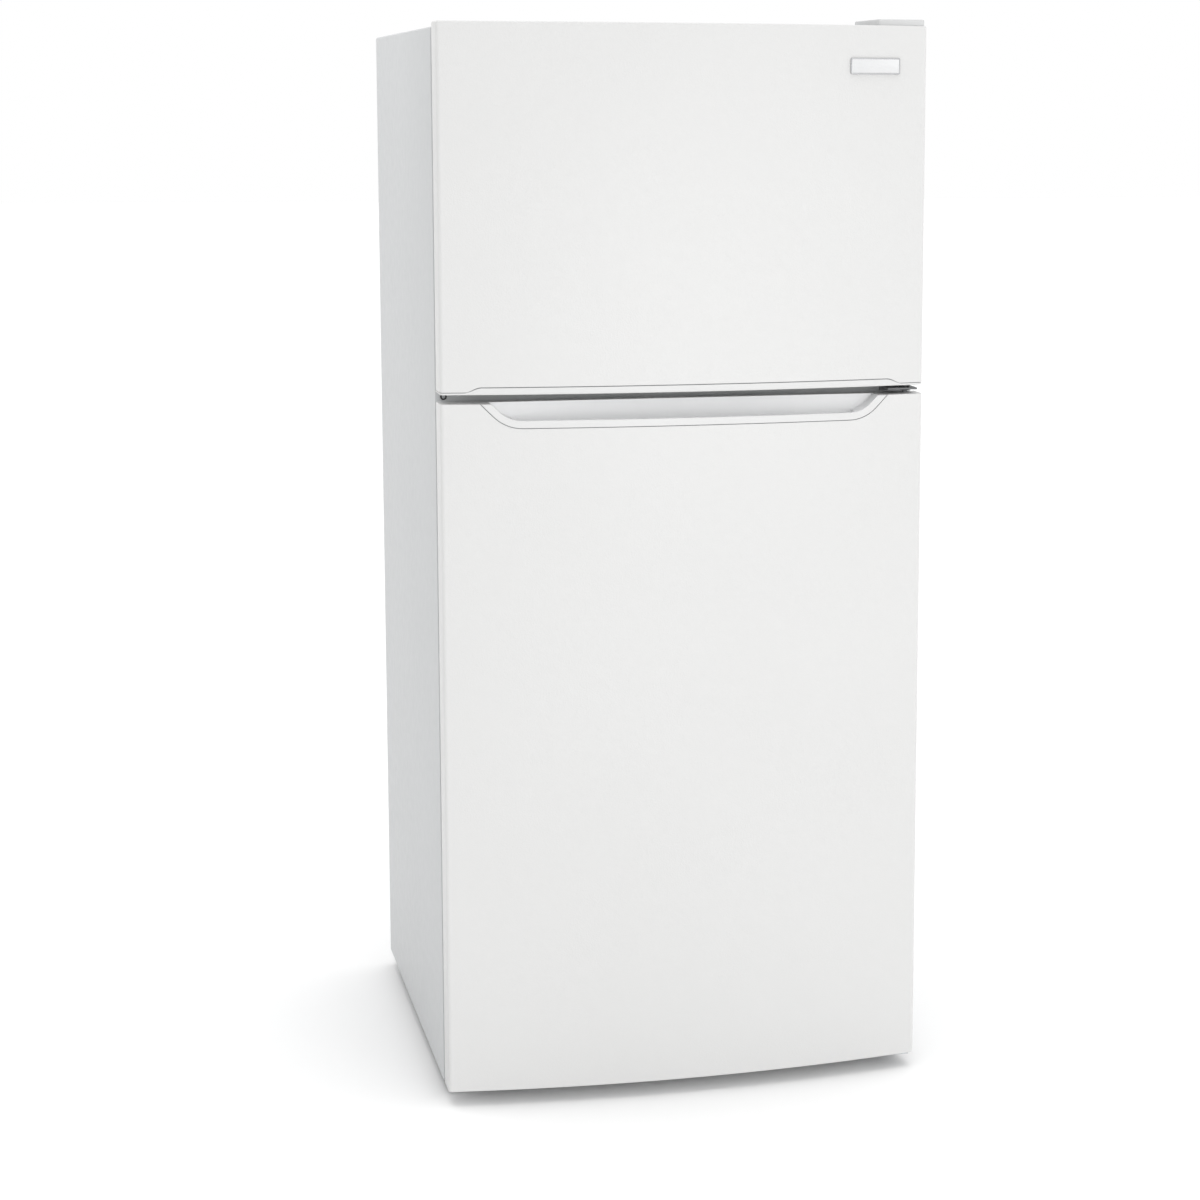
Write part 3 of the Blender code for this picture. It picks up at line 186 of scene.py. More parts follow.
# ---- outlines -----------------------------------------------------------------------------------
def rounded_corners(low, high, radius, steps=5):
    """Points and outward directions round a rectangle with rounded corners, counter-clockwise."""
    (x0, y0), (x1, y1) = low, high
    r = max(min(radius, (x1 - x0) / 2.001, (y1 - y0) / 2.001), 0.0001)
    centres = ((x1 - r, y0 + r, -90), (x1 - r, y1 - r, 0), (x0 + r, y1 - r, 90),
        (x0 + r, y0 + r, 180))
    found = []
    for x, y, start in centres:
        for k in range(steps + 1):
            a = math.radians(start + 90 * k / steps)
            found.append(((x + r * math.cos(a), y + r * math.sin(a)), (math.cos(a), math.sin(a))))
    return found


def rounded_rect(low, high, radius, steps=5):
    return [point for point, _ in rounded_corners(low, high, radius, steps)]


def inset(outline, distance):
    """A counter-clockwise outline moved inwards."""
    moved = []
    count = len(outline)
    for i, point in enumerate(outline):
        here = Vector(point)
        into = (here - Vector(outline[i - 1])).normalized()
        away = (Vector(outline[(i + 1) % count]) - here).normalized()
        along = (into + away).normalized()
        across = Vector((-along.y, along.x))
        reach = distance / max(along.dot(away), 0.4)
        moved.append(tuple(here + across * reach))
    return moved


def fillet(outline, radii, steps=5):
    """A counter-clockwise outline with each corner rounded by its radius."""
    rounded = []
    count = len(outline)
    for i, point in enumerate(outline):
        here, r = Vector(point), radii[i]
        into = (Vector(outline[i - 1]) - here).normalized()
        away = (Vector(outline[(i + 1) % count]) - here).normalized()
        if r <= 0:
            rounded.append(tuple(here))
            continue
        half = into.angle(away) / 2
        reach = r / math.tan(half)
        start, end = here + into * reach, here + away * reach
        centre = here + (into + away).normalized() * (r / math.sin(half))
        first, last = start - centre, end - centre
        sweep = first.angle_signed(last)
        for k in range(steps + 1):
            turn = Matrix.Rotation(-sweep * k / steps, 2)
            rounded.append(tuple(centre + turn @ first))
    return rounded


DOOR_LOW, DOOR_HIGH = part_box("freezer_door_skin")
DOOR_HALF = DOOR_HIGH.x
BOW_RADIUS = (DOOR_HALF**2 + BOW**2) / (2 * BOW)


def bow_y(x):
    """Where the doors' front surface lies at x."""
    return CAD_LOW.y + BOW_RADIUS - math.sqrt(BOW_RADIUS**2 - x**2)


def bowed_outline(half, back, depth=0.0, corner=CORNER_R, steps=48):
    """Plan of a door, counter-clockwise: a bowed front between rounded corners, sides and back."""
    reach = half - corner
    front = [(x, bow_y(x) + depth) for x in (reach * (2 * i / steps - 1) for i in range(steps + 1))]
    side_y = front[-1][1] + corner
    bend = []
    for k in range(6):
        a = math.radians(18 * k)
        bend.append((reach + corner * math.sin(a), side_y - corner * math.cos(a)))
    right = bend[1:]
    left = [(-x, y) for x, y in reversed(right)]
    return [*left, *front, *right, (half, back), (-half, back)]


def grip_outline(radius, top, steps=10):
    """Front view of the lower door's grip: flat bottom, arcs and sloping ends."""
    arcs = [GRIP_SLOPE * i / steps for i in range(steps + 1)]
    right = [(GRIP_ARC_X + radius * math.sin(a), GRIP_ARC_Z - radius * math.cos(a)) for a in arcs]
    end_x, end_z = right[-1]
    right.append((end_x + (top - end_z) / math.tan(GRIP_SLOPE), top))
    left = [(-x, z) for x, z in reversed(right)]
    return [*left, *right]


def stepped_edge(low, high, bottom, half, shift=0.0, steps=10):
    """Front view of the space under the freezer door's skin, with its stepped edge."""
    rise = []
    for i in range(steps + 1):
        t = i / steps
        x = STEP_OUTER - shift + (STEP_INNER - STEP_OUTER) * t
        rise.append((x, low + (high - low) * t * t * (3 - 2 * t)))
    left = [(-x, z) for x, z in reversed(rise)]
    return [(-half, bottom), (half, bottom), (half, low), *rise, *left, (-half, low)]


# ---- mesh tools ---------------------------------------------------------------------------------
PLACE = {"X": lambda u, v, w: Vector((w, u, v)), "Y": lambda u, v, w: Vector((u, w, v)),
    "Z": lambda u, v, w: Vector((u, v, w))}


def piece_from(name, bm, finish, sharp=35):
    bmesh.ops.recalc_face_normals(bm, faces=bm.faces)
    mesh = bpy.data.meshes.new(name)
    bm.to_mesh(mesh)
    bm.free()
    mesh.shade_smooth()
    mesh.set_sharp_from_angle(angle=math.radians(sharp))
    mesh.materials.append(FINISH[finish])
    obj = bpy.data.objects.new(name, mesh)
    bpy.context.scene.collection.objects.link(obj)
    return obj


def loft(name, rings, finish, closed=False, sharp=35):
    """A skin over a row of equal rings, capped at its ends or joined end to end."""
    bm = bmesh.new()
    rows = [[bm.verts.new(point) for point in ring] for ring in rings]
    pairs = list(zip(rows, rows[1:]))
    if closed:
        pairs.append((rows[-1], rows[0]))
    for first, second in pairs:
        for i in range(len(first)):
            j = (i + 1) % len(first)
            bm.faces.new((first[i], first[j], second[j], second[i]))
    if not closed:
        bm.faces.new(rows[0])
        bm.faces.new(rows[-1])
    return piece_from(name, bm, finish, sharp)


def slab(name, outline, axis, start, end, finish="white_moulding", edge=0.001, end_edge=None,
        steps=3):
    """An outline pushed along an axis, with the edges of its two ends rounded."""
    end_edge = edge if end_edge is None else end_edge
    rings = []
    for place, inwards, r in ((start, 1, edge), (end, -1, end_edge)):
        levels = []
        for k in range(steps + 1 if r else 1):
            a = math.radians(90 * k / steps)
            level = place + inwards * r * (1 - math.cos(a))
            levels.append([PLACE[axis](u, v, level) for u,
                v in inset(outline, r * (1 - math.sin(a)))])
        rings += levels if inwards > 0 else reversed(levels)
    return loft(name, rings, finish)


def block(name, low, high, finish="white_moulding", corner=0.003, edge=0.001, axis="Z", steps=5):
    """A rounded block between two corners, with its upright edges along an axis."""
    u, v, w = {"X": (1, 2, 0), "Y": (0, 2, 1), "Z": (0, 1, 2)}[axis]
    outline = rounded_rect((low[u], low[v]), (high[u], high[v]), max(corner, edge * 1.05), steps)
    return slab(name, outline, axis, low[w], high[w], finish, edge)


def rim(name, low, high, axis, level, section, finish, corner=0.012, steps=6):
    """A moulding swept round a rectangle. Section points are (outwards, along the axis)."""
    rings = []
    for (u, v), (out_u, out_v) in rounded_corners(low, high, corner, steps):
        rings.append([PLACE[axis](u + n * out_u, v + n * out_v, level + d) for n, d in section])
    return loft(name, rings, finish, closed=True)


def turned(name, profile, centre, axis, finish, sides=32):
    """A turned piece from (radius, height) points, first to last along its axis."""
    rings = []
    for radius, height in profile:
        angles = [math.tau * k / sides for k in range(sides)]
        rings.append([PLACE[axis](radius * math.cos(a), radius * math.sin(a), height)
            for a in angles])
    obj = loft(name, rings, finish)
    obj.data.transform(Matrix.Translation(centre))
    return obj


def tub(name, low, high, finish, wall=0.0025, corner=0.014, draft=0.004, bottom=0.008, lip=0.0):
    """An open tray with rounded corners, tapering walls and a rim that may stand out by lip."""
    x0, y0, z0 = low
    x1, y1, z1 = high
    roll = wall / 2

    def ring(z, d, spread=0.0):
        taper = draft * (z1 - z) / (z1 - z0)
        reach = d + taper + lip - spread
        outline = rounded_rect((x0 + reach, y0 + reach), (x1 - reach, y1 - reach),
            max(corner - reach, 0.002), 6)
        return [Vector((x, y, z)) for x, y in outline]

    bends = [math.radians(22.5 * k) for k in range(5)]
    rings = [ring(z0 + bottom * (1 - math.cos(a)), bottom * (1 - math.sin(a))) for a in bends]
    if lip:
        shoulder = z1 - roll - 3 * lip
        rings += [ring(shoulder, 0.0), ring(shoulder + lip, 0.0, lip * 0.8),
            ring(shoulder + 1.6 * lip, 0.0, lip)]
    for k in range(5):
        a = math.radians(45 * k)
        rings.append(ring(z1 - roll + roll * math.sin(a), roll - roll * math.cos(a),
            lip * (1 + math.cos(a)) / 2))
    inner = [ring(z0 + wall + bottom * (1 - math.cos(a)), wall + bottom * (1 - math.sin(a)))
        for a in bends]
    return loft(name, rings + inner[::-1], finish)


def wires(name, paths, radius, finish, cyclic=False, resolution=3):
    """Round bars that follow paths, as one piece."""
    curve = bpy.data.curves.new(name, "CURVE")
    curve.dimensions = "3D"
    curve.bevel_depth = radius
    curve.bevel_resolution = resolution
    curve.use_fill_caps = True
    for path in paths:
        spline = curve.splines.new("POLY")
        spline.points.add(len(path) - 1)
        for point, place in zip(spline.points, path):
            point.co = (*place, 1)
        spline.use_cyclic_u = cyclic
    source = bpy.data.objects.new(name, curve)
    bpy.context.scene.collection.objects.link(source)
    bpy.context.view_layer.update()
    graph = bpy.context.evaluated_depsgraph_get()
    mesh = bpy.data.meshes.new_from_object(source.evaluated_get(graph))
    bpy.data.objects.remove(source)
    bm = bmesh.new()
    bm.from_mesh(mesh)
    bmesh.ops.remove_doubles(bm, verts=bm.verts, dist=1e-6)
    bpy.data.meshes.remove(mesh)
    return piece_from(name, bm, finish, 50)


def carve(obj, *tools, operation="DIFFERENCE", sharp=35, lined=False):
    """Cuts tools out of a piece, or joins them to it. The tools are used up and may line cuts."""
    for tool in tools:
        modifier = obj.modifiers.new(tool.name, "BOOLEAN")
        modifier.operation = operation
        modifier.solver = "EXACT"
        modifier.object = tool
        modifier.material_mode = "TRANSFER" if lined else "INDEX"
    bpy.context.view_layer.update()
    graph = bpy.context.evaluated_depsgraph_get()
    mesh = bpy.data.meshes.new_from_object(obj.evaluated_get(graph), depsgraph=graph)
    obj.modifiers.clear()
    obj.data = mesh
    mesh.shade_smooth()
    mesh.set_sharp_from_angle(angle=math.radians(sharp))
    for tool in tools:
        bpy.data.objects.remove(tool)
    return obj


def weld(obj, *tools, sharp=35):
    return carve(obj, *tools, operation="UNION", sharp=sharp)


def soften(obj, width, steps=2, angle=40):
    """Rounds a piece's sharp edges a little, without changing its mesh."""
    weld_up = obj.modifiers.new("seams", "WELD")
    weld_up.merge_threshold = 0.00001
    bevel = obj.modifiers.new("edges", "BEVEL")
    bevel.width = width
    bevel.segments = steps
    bevel.limit_method = "ANGLE"
    bevel.angle_limit = math.radians(angle)
    bevel.harden_normals = False
    return obj


def sized(node):
    """A node's lowest and highest corners, and its middle."""
    low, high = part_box(node)
    return low, high, (low + high) / 2


def cutter(outline, axis, start, end, finish="white_moulding", end_edge=0.0):
    return slab("cutter", outline, axis, start, end, finish, 0.0, end_edge)


def front_cutter(outline):
    """Cuts through a door's bowed front and no further."""
    return cutter(outline, "Y", DOOR_LOW.y - FAR, DOOR_LOW.y + BOW + SKIN_CUT)


def gather(name, parts):
    """Several separate pieces as one object."""
    bm = bmesh.new()
    for part in parts:
        bm.from_mesh(part.data)
        bpy.data.objects.remove(part)
    return piece_from(name, bm, "white_moulding")


def punch(plate, cells, corner, start, end):
    """Cuts slots with rounded corners along Y, from the (x, z) corners of each."""
    slots = []
    for (x0, z0), (x1, z1) in cells:
        low, high = (x0, start, z0), (x1, end, z1)
        slots.append(block("slot", low, high, corner=corner, edge=0.0, axis="Y"))
    return carve(plate, gather("slots", slots))


def copies(name, source, places, finish):
    """One piece made of a small mesh repeated at each place. The source is used up."""
    bm = bmesh.new()
    for place in places:
        part = bmesh.new()
        part.from_mesh(source.data)
        bmesh.ops.transform(part, matrix=Matrix.Translation(place), verts=part.verts)
        mesh = bpy.data.meshes.new("copy")
        part.to_mesh(mesh)
        part.free()
        bm.from_mesh(mesh)
        bpy.data.meshes.remove(mesh)
    bpy.data.objects.remove(source)
    return piece_from(name, bm, finish)


def screws(name, low, high, face, inwards, count, margin, radius=0.0042):
    """Two columns of pan head screws with crossed slots, on a face that looks along +Y."""
    finish, height, slot = "zinc_steel", radius * 0.45, radius * 0.16
    profile = [(radius, 0), (radius, height * 0.4), (radius * 0.8, height * 0.85),
        (radius * 0.3, height)]
    head = turned("head", profile, (0, 0, 0), "Y", finish, 20)
    for u, v in ((radius * 0.6, slot), (slot, radius * 0.6)):
        ends = (-u, height * 0.45, -v), (u, height * 1.5, v)
        carve(head, block("slot", *ends, finish, 0.0001, 0.0, "Y"))
    first, last = low.z + margin, high.z - margin
    levels = [first + (last - first) * i / (count - 1) for i in range(count)]
    places = [Vector((x, face, z)) for x in (low.x + inwards, high.x - inwards) for z in levels]
    dress(copies(name, head, places, finish))


def tyre(name, profile, centre, axis, finish, sides=48):
    """A turned ring whose profile closes on itself."""
    rings = []
    for k in range(sides):
        a = math.tau * k / sides
        rings.append([PLACE[axis](r * math.cos(a), r * math.sin(a), h) for r, h in profile])
    obj = loft(name, rings, finish, closed=True)
    obj.data.transform(Matrix.Translation(centre))
    return obj


def dress(obj, body="cabinet", *nodes, slot=None):
    """Puts a piece on its body, in place of any CAD nodes that it stands for."""
    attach(obj, body)
    if nodes:
        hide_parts(*nodes)
    return obj


def refinish(obj, finish):
    obj.data.materials.clear()
    obj.data.materials.append(FINISH[finish])
    return obj


def paint(node, finish):
    """Gives a CAD node's own mesh a finish."""
    return refinish(NODES[node], finish)


def fluted(radius, flutes=24, depth=0.0006, steps=4):
    """Outline of a knob with shallow flutes round it."""
    count = flutes * steps
    found = []
    for i in range(count):
        a = math.tau * i / count
        r = radius - depth * (1 - math.cos(flutes * a)) / 2
        found.append((r * math.cos(a), r * math.sin(a)))
    return found


# ---- doors --------------------------------------------------------------------------------------
DOOR_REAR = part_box("freezer_door_foam")[1].y
LINER_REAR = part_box("freezer_door_liner")[1].y


def pin_hole(low, high):
    middle = (low + high) / 2
    profile = [(PIN_HOLE_R, low - middle), (PIN_HOLE_R, high - middle)]
    return turned("hole", profile, (HINGE_X, HINGE_Y, middle), "Z", "white_moulding")


def door_plan(inward, back):
    """Plan of a door with its front and sides moved inwards."""
    return bowed_outline(DOOR_HALF - inward, back, inward, max(CORNER_R - inward, 0.002))


def front_keep(outline, low):
    return cutter(outline, "Y", low.y - FAR, CAD_HIGH.y)


def freezer_skin():
    name = "freezer_door_skin"
    low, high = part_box(name)
    outline = bowed_outline(DOOR_HALF, high.y)
    skin = slab("freezer_door_sheet", outline, "Z", low.z, high.z, "door_enamel", 0.0, SKIN_EDGE_R)
    hollow = cutter(door_plan(SHEET, high.y + FAR), "Z", low.z - FAR, high.z - SHEET)
    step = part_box("freezer_door_handle")[1].z - STEP_DROP
    edge = stepped_edge(low.z - SHEET, step, low.z - FAR, DOOR_HALF + FAR)
    carve(skin, hollow, front_cutter(edge), pin_hole(high.z - 0.01, high.z + 0.01))
    dress(skin, "freezer_door", name, slot="white_paint")


def fridge_skin():
    name = "fridge_door_skin"
    low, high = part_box(name)
    outline = bowed_outline(DOOR_HALF, high.y)
    skin = slab("fridge_door_sheet", outline, "Z", low.z, high.z, "door_enamel", 0.0008, 0.0)
    hollow = cutter(door_plan(SHEET, high.y + FAR), "Z", low.z - FAR, high.z + FAR)
    carve(skin, hollow, front_cutter(grip_outline(GRIP_LIP_R + SEAM, high.z + FAR)))
    dress(skin, "fridge_door", name, slot="white_paint")


def seam(outer, inner, plan_back):
    """A shadow gap between two front outlines, cut one wall deep into the bowed surface. Its walls
    take the band's dark grey moulding as painted shade in the gap.
    """
    low, high = DOOR_LOW.y - FAR, DOOR_LOW.y + BOW + SKIN_CUT
    # The band's dark grey moulding lines the groove's walls: painted shade.
    shade_band = cutter(outer, "Y", low, high, "grey_moulding")
    inside = cutter(inner, "Y", low - FAR, high + FAR)
    return carve(shade_band, inside, cutter(door_plan(WALL, plan_back), "Z", 0.0, CAD_HIGH.z))


def freezer_handle():
    """Moulding under the freezer door, with a sloping lip that shows below the skin's edge."""
    name, finish = "freezer_door_handle", "lip_moulding"
    low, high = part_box(name)
    skin_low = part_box("freezer_door_skin")[0].z - SHEET
    step_high = high.z - STEP_DROP - STEP_SEAM
    plan = door_plan(SHEET + GAP, high.y)
    core = slab("freezer_door_moulding", plan, "Z", low.z, high.z, finish, 0.0008)
    plan = bowed_outline(DOOR_HALF, high.y)
    lip = slab("lip", plan, "Z", low.z, step_high + 0.004, finish, 0.0022, 0.0)
    face = stepped_edge(skin_low, step_high, low.z - FAR, DOOR_HALF + FAR, 3 * GAP)
    carve(lip, front_keep(face, low), operation="INTERSECT")
    weld(core, lip)
    half, depth, top, corner = 0.290, 0.012, 1.1435, 0.010
    grip = bowed_outline(half, GRIP_BACK, depth, corner)
    carve(core, cutter(grip, "Z", low.z - FAR, top, end_edge=0.004))
    hollow = cutter(door_plan(0.004, high.y - WALL), "Z", low.z + WALL, high.z + FAR)
    wall = bowed_outline(half + WALL, GRIP_BACK + WALL, depth - WALL, corner)
    carve(hollow, cutter(wall, "Z", low.z - FAR, top + WALL))
    carve(core, hollow, pin_hole(low.z - 0.01, low.z + 0.01))
    bottom, half = low.z - 2 * FAR, DOOR_HALF + 2 * FAR
    above = stepped_edge(skin_low + STEP_SEAM, step_high + 2 * STEP_SEAM, bottom, half)
    below = stepped_edge(skin_low, step_high, bottom - FAR, half + FAR, 3 * GAP)
    # The seam lines its groove with dark grey moulding: painted shade along the skin's stepped
    # edge.
    carve(core, seam(above, below, high.y + FAR), lined=True)
    dress(core, "freezer_door", name, slot="white_plastic")


def fridge_grip():
    """Top moulding of the lower door: a lip of constant width, and the pocket behind it."""
    name, finish = "fridge_door_handle", "lip_moulding"
    low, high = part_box(name)
    back, above = high.y, high.z + FAR
    plan = door_plan(SHEET + GAP, back)
    core = slab("fridge_door_moulding", plan, "Z", low.z, high.z, finish, 0.0, 0.001)
    lip = slab("lip", bowed_outline(DOOR_HALF, back), "Z", low.z, high.z, finish, 0.0, 0.0015)
    face = grip_outline(GRIP_LIP_R - GAP, above)
    carve(lip, front_keep(face, low), operation="INTERSECT")
    weld(core, lip)
    # The pocket's and the well's faces take a lighter copy of the lip's moulding: painted light in
    # the pocket's shade.
    lined = "pocket_moulding"
    mouth = grip_outline(GRIP_LIP_R - GRIP_LIP, above)
    pocket = cutter(mouth, "Y", low.y - FAR, GRIP_BACK, lined, 0.003)
    half, depth, floor, corner = GRIP_ARC_X + 0.012, 0.009, 1.0615, 0.012
    plan = bowed_outline(half, GRIP_BACK, depth, corner)
    well = slab("well", plan, "Z", floor, above, lined, 0.005)
    carve(core, pocket, well, lined=True)
    hollow = cutter(door_plan(0.004, back - WALL), "Z", low.z - FAR, high.z - WALL)
    mouth = grip_outline(GRIP_LIP_R - GRIP_LIP + WALL, above)
    outer_mouth = cutter(mouth, "Y", low.y - 2 * FAR, GRIP_BACK + WALL)
    plan = bowed_outline(half + WALL, GRIP_BACK + WALL, depth - WALL, corner)
    carve(hollow, outer_mouth, cutter(plan, "Z", floor - WALL, above))
    carve(core, hollow, pin_hole(high.z - 0.01, high.z + 0.01))
    outer = grip_outline(GRIP_LIP_R + SEAM, above)
    inner = grip_outline(GRIP_LIP_R - GAP, above + FAR)
    # The seam lines its groove with dark grey moulding: painted shade along the grip's edge.
    carve(core, seam(outer, inner, back + FAR), lined=True)
    soften(core, 0.0010, 3, 50)
    dress(core, "fridge_door", name, slot="white_plastic")


def badge():
    """Blank plate with a raised rim, lying on the bowed skin."""
    name = "nameplate"
    low, high, centre = sized(name)
    half, height, thick, edge = 0.041, (high.z - low.z) / 2, 0.0025, 0.0019
    outline = rounded_rect((-half, -height), (half, height), 0.0016, 4)
    plate = slab("badge_plate", outline, "Y", -thick / 2, thick / 2, "badge_metal", 0.0008, 0.0)
    field = rounded_rect((edge - half, edge - height), (half - edge, height - edge), 0.0008, 4)
    recess = cutter(field, "Y", -thick, -thick / 2 + 0.0006, "badge_face", 0.0003)
    carve(plate, recess, lined=True)
    lean = math.asin(centre.x / BOW_RADIUS)
    plate.data.transform(Matrix.Translation(centre) @ Matrix.Rotation(lean, 4, "Z"))
    dress(plate, "freezer_door", name, slot="badge_metal")


DIKE_SECTION = ((0.0, -0.001), (-0.0008, 0.016), (-0.0025, 0.026), (-0.006, 0.031), (-0.010, 0.032),
    (-0.014, 0.032), (-0.018, 0.031), (-0.0215, 0.026), (-0.0232, 0.016), (-0.024, -0.001))
GASKET_SECTION = ((-0.014, 0.0), (0.0, 0.0), (0.0, 0.0014), (-0.0022, 0.0026), (-0.0022, 0.0044),
    (-0.0004, 0.006), (0.0, 0.0076), (0.0, 0.0106), (-0.0008, 0.0114), (-0.0102, 0.0114),
    (-0.011, 0.0106), (-0.011, 0.0074), (-0.0094, 0.006), (-0.0094, 0.0036), (-0.014, 0.0018))
DIKE_HEIGHT = 0.032
PANEL_FACE = LINER_REAR - DIKE_HEIGHT


def door_panel(door, half, bottom, top):
    """Inner panel with a rounded dike round it, and a soft gasket outside the dike."""
    finish = "liner_moulding"
    low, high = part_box(f"{door}_liner")
    outline = rounded_rect((low.x, low.z), (high.x, high.z), 0.006, 5)
    panel = slab(f"{door}_panel", outline, "Y", low.y, PANEL_FACE, finish, 0.0008)
    ends = (-half, bottom), (half, top)
    weld(panel, rim("dike", *ends, "Y", PANEL_FACE, DIKE_SECTION, finish, 0.034, 8))
    beads = []
    reach, tall = half - 0.054, 0.055
    count = max(2, round((top - bottom) / 0.24))
    for i in range(count):
        z = bottom + (top - bottom) * (i + 0.5) / count
        shape = rounded_rect((-reach, z - tall), (reach, z + tall), 0.016, 5)
        beads.append(cutter(shape, "Y", PANEL_FACE - 0.0005, PANEL_FACE + 0.0006, finish, 0.0005))
    weld(panel, *beads)
    dress(panel, door, f"{door}_liner", slot="liner_plastic")
    low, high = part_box(f"{door}_gasket")
    ends = (low.x, low.z), (high.x, high.z)
    seal = rim(f"{door}_seal", *ends, "Y", low.y, GASKET_SECTION, "gasket_vinyl", 0.018, 8)
    dress(seal, door, f"{door}_gasket", slot="gasket_vinyl")


def door_bins():
    for name in NODES:
        if name.endswith("_bin"):
            low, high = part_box(name)
            tray = tub(f"{name}_tray", low, high, "white_moulding", 0.003, 0.016, 0.004, 0.010,
                0.0035)
            dress(tray, name.split("_door")[0] + "_door", name, slot="white_plastic")


def dairy():
    finish = "crisper_plastic"
    low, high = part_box("dairy_box")
    box = block("dairy_case", low, high, finish, 0.008, 0.0015, "Y")
    wall = Vector((0.003, 0.003, 0.003))
    top = high + Vector((-wall.x, FAR, -wall.z))
    carve(box, block("hollow", low + wall, top, finish, 0.006, 0.0, "Y"))
    dress(box, "fridge_door", "dairy_box", slot="clear_plastic")
    low, high, centre = sized("dairy_door")
    half = (high.x - low.x) / 2
    roll_r, thick = 0.003, 0.0033
    roll_y, roll_z = low.y + 0.0032, high.z - roll_r
    ends = (low.x, low.y + GAP, low.z), (high.x, low.y + thick, roll_z)
    flap = block("dairy_flap_plate", *ends, finish, 0.006, 0.0008, "Y")
    profile = [(roll_r, -half), (roll_r, half)]
    roll = turned("roll", profile, (centre.x, roll_y, roll_z), "X", finish, 24)
    reach = half * 0.32
    ends = (centre.x - reach, low.y + 0.0028, low.z), (centre.x + reach, high.y, low.z + 0.004)
    weld(flap, roll, block("pull", *ends, finish, 0.003, 0.001))
    dress(flap, "dairy_flap", "dairy_door", slot="clear_plastic")


def doors():
    freezer_skin()
    fridge_skin()
    freezer_handle()
    fridge_grip()
    badge()
    door_panel("freezer_door", 0.312, 1.156, 1.603)
    door_panel("fridge_door", 0.325, 0.121, 1.070)
    door_bins()
    dairy()
    soften(paint("fridge_door_bottom_cap", "white_moulding"), 0.0006)
    paint("freezer_door_foam", "foam")
    paint("fridge_door_foam", "foam")


# ---- cabinet ------------------------------------------------------------------------------------
FREEZER_ROOM = {"half": 0.322, "floor": 1.150, "ceiling": 1.609}
FRIDGE_ROOM = {"half": 0.333, "floor": 0.115, "ceiling": 1.076}
ROOM_BACK = 0.330
ROOM_R = 0.012
ROOM_STEP_Y, ROOM_STEP_Z = 0.105, 0.335
LINER = 0.002
SHELF_END = 0.24
COVER_END = 0.1
SHEET_LAP = 0.0035


def wrapper():
    name = "cabinet_wrapper"
    low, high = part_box(name)
    x, top = high.x, high.z
    outline = fillet([(-x, low.z), (x, low.z), (x, top), (-x, top)], [0, 0, 0.004, 0.004], 6)
    # The wrapper's enamel is darker than the doors' white: painted shade on its sides.
    shell = slab("cabinet_sheet", outline, "Y", low.y, high.y, "cabinet_enamel", 0.0016, 0.0008)
    x, top, bottom = x - SHEET, top - SHEET, low.z - FAR
    inner = fillet([(-x, bottom), (x, bottom), (x, top), (-x, top)], [0, 0, 0.003, 0.003], 6)
    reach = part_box("mullion_rail")[1].x + GAP
    ends = (-reach, low.y - FAR, bottom), (reach, low.y + 0.004, 1.6508)
    mouth = block("mouth", *ends, corner=0.0)
    carve(shell, cutter(inner, "Y", low.y + 0.002, high.y + FAR), mouth)
    dress(shell, "cabinet", name, slot="cabinet_paint")


def rear_sheet():
    """Back panel pressed with shallow grooves, and screws along its edges."""
    name, finish = "back_panel", "zinc_steel"
    low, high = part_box(name)
    low = low - Vector((0, 0, SHEET_LAP))
    depth, run, count, plain = 0.0009, 0.004, 7, 0.045
    rear, front = [(high.y, low.z)], [(low.y, low.z)]
    for i in range(count):
        z = low.z + (high.z - low.z) * (i + 0.5) / count
        for side, y in ((-3, 0), (-1, -depth), (1, -depth), (3, 0)):
            rear.append((high.y + y, z + side * run))
            front.append((low.y + y, z + side * run))
    rear.append((high.y, high.z))
    front.append((low.y, high.z))
    outline = rear + front[::-1]
    sheet = slab("back_sheet", outline, "X", low.x + plain, high.x - plain, finish, 0.0)
    for x0, x1 in ((low.x, low.x + plain + 0.0005), (high.x - plain - 0.0005, high.x)):
        ends = (x0, low.y, low.z), (x1, high.y, high.z)
        weld(sheet, block("edge", *ends, finish, 0.0002, 0.0))
    dress(sheet, "cabinet", name, slot="zinc_steel")
    screws("back_screws", low, high, high.y - 0.0014, 0.014, 6, 0.03)


def room(front, half, floor, ceiling, back=ROOM_BACK):
    """The space inside a liner."""
    outline = rounded_rect((-half, floor), (half, ceiling), ROOM_R, 6)
    end_edge = ROOM_R * 0.94
    return slab("air", outline, "Y", front - FAR, back, "liner_moulding", 0.0, end_edge, 6)


def fit_out(liner, name, half, shelf_ends):
    """Adds the shelves' ribs to a liner and puts it in the cabinet."""
    for shelf, back in shelf_ends:
        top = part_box(shelf)[0].z
        for side in (-1, 1):
            x0, x1 = sorted((side * (half - 0.007), side * (half + 0.001)))
            ends = (x0, -0.165, top - 0.008), (x1, back, top - GAP)
            weld(liner, block("rib", *ends, "liner_moulding", 0.0025, 0.002, "Y"))
    soften(liner, 0.0012, 3, 60)
    dress(liner, "cabinet", name, slot="liner_plastic")


def flange(front, bottom, top):
    """The liners' flat border at the front of the cabinet."""
    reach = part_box("mullion_rail")[1].x
    ends = (-reach, front, bottom), (reach, front + LINER, top)
    return block("flange", *ends, "liner_moulding", 0.0002, 0.0, "Y")


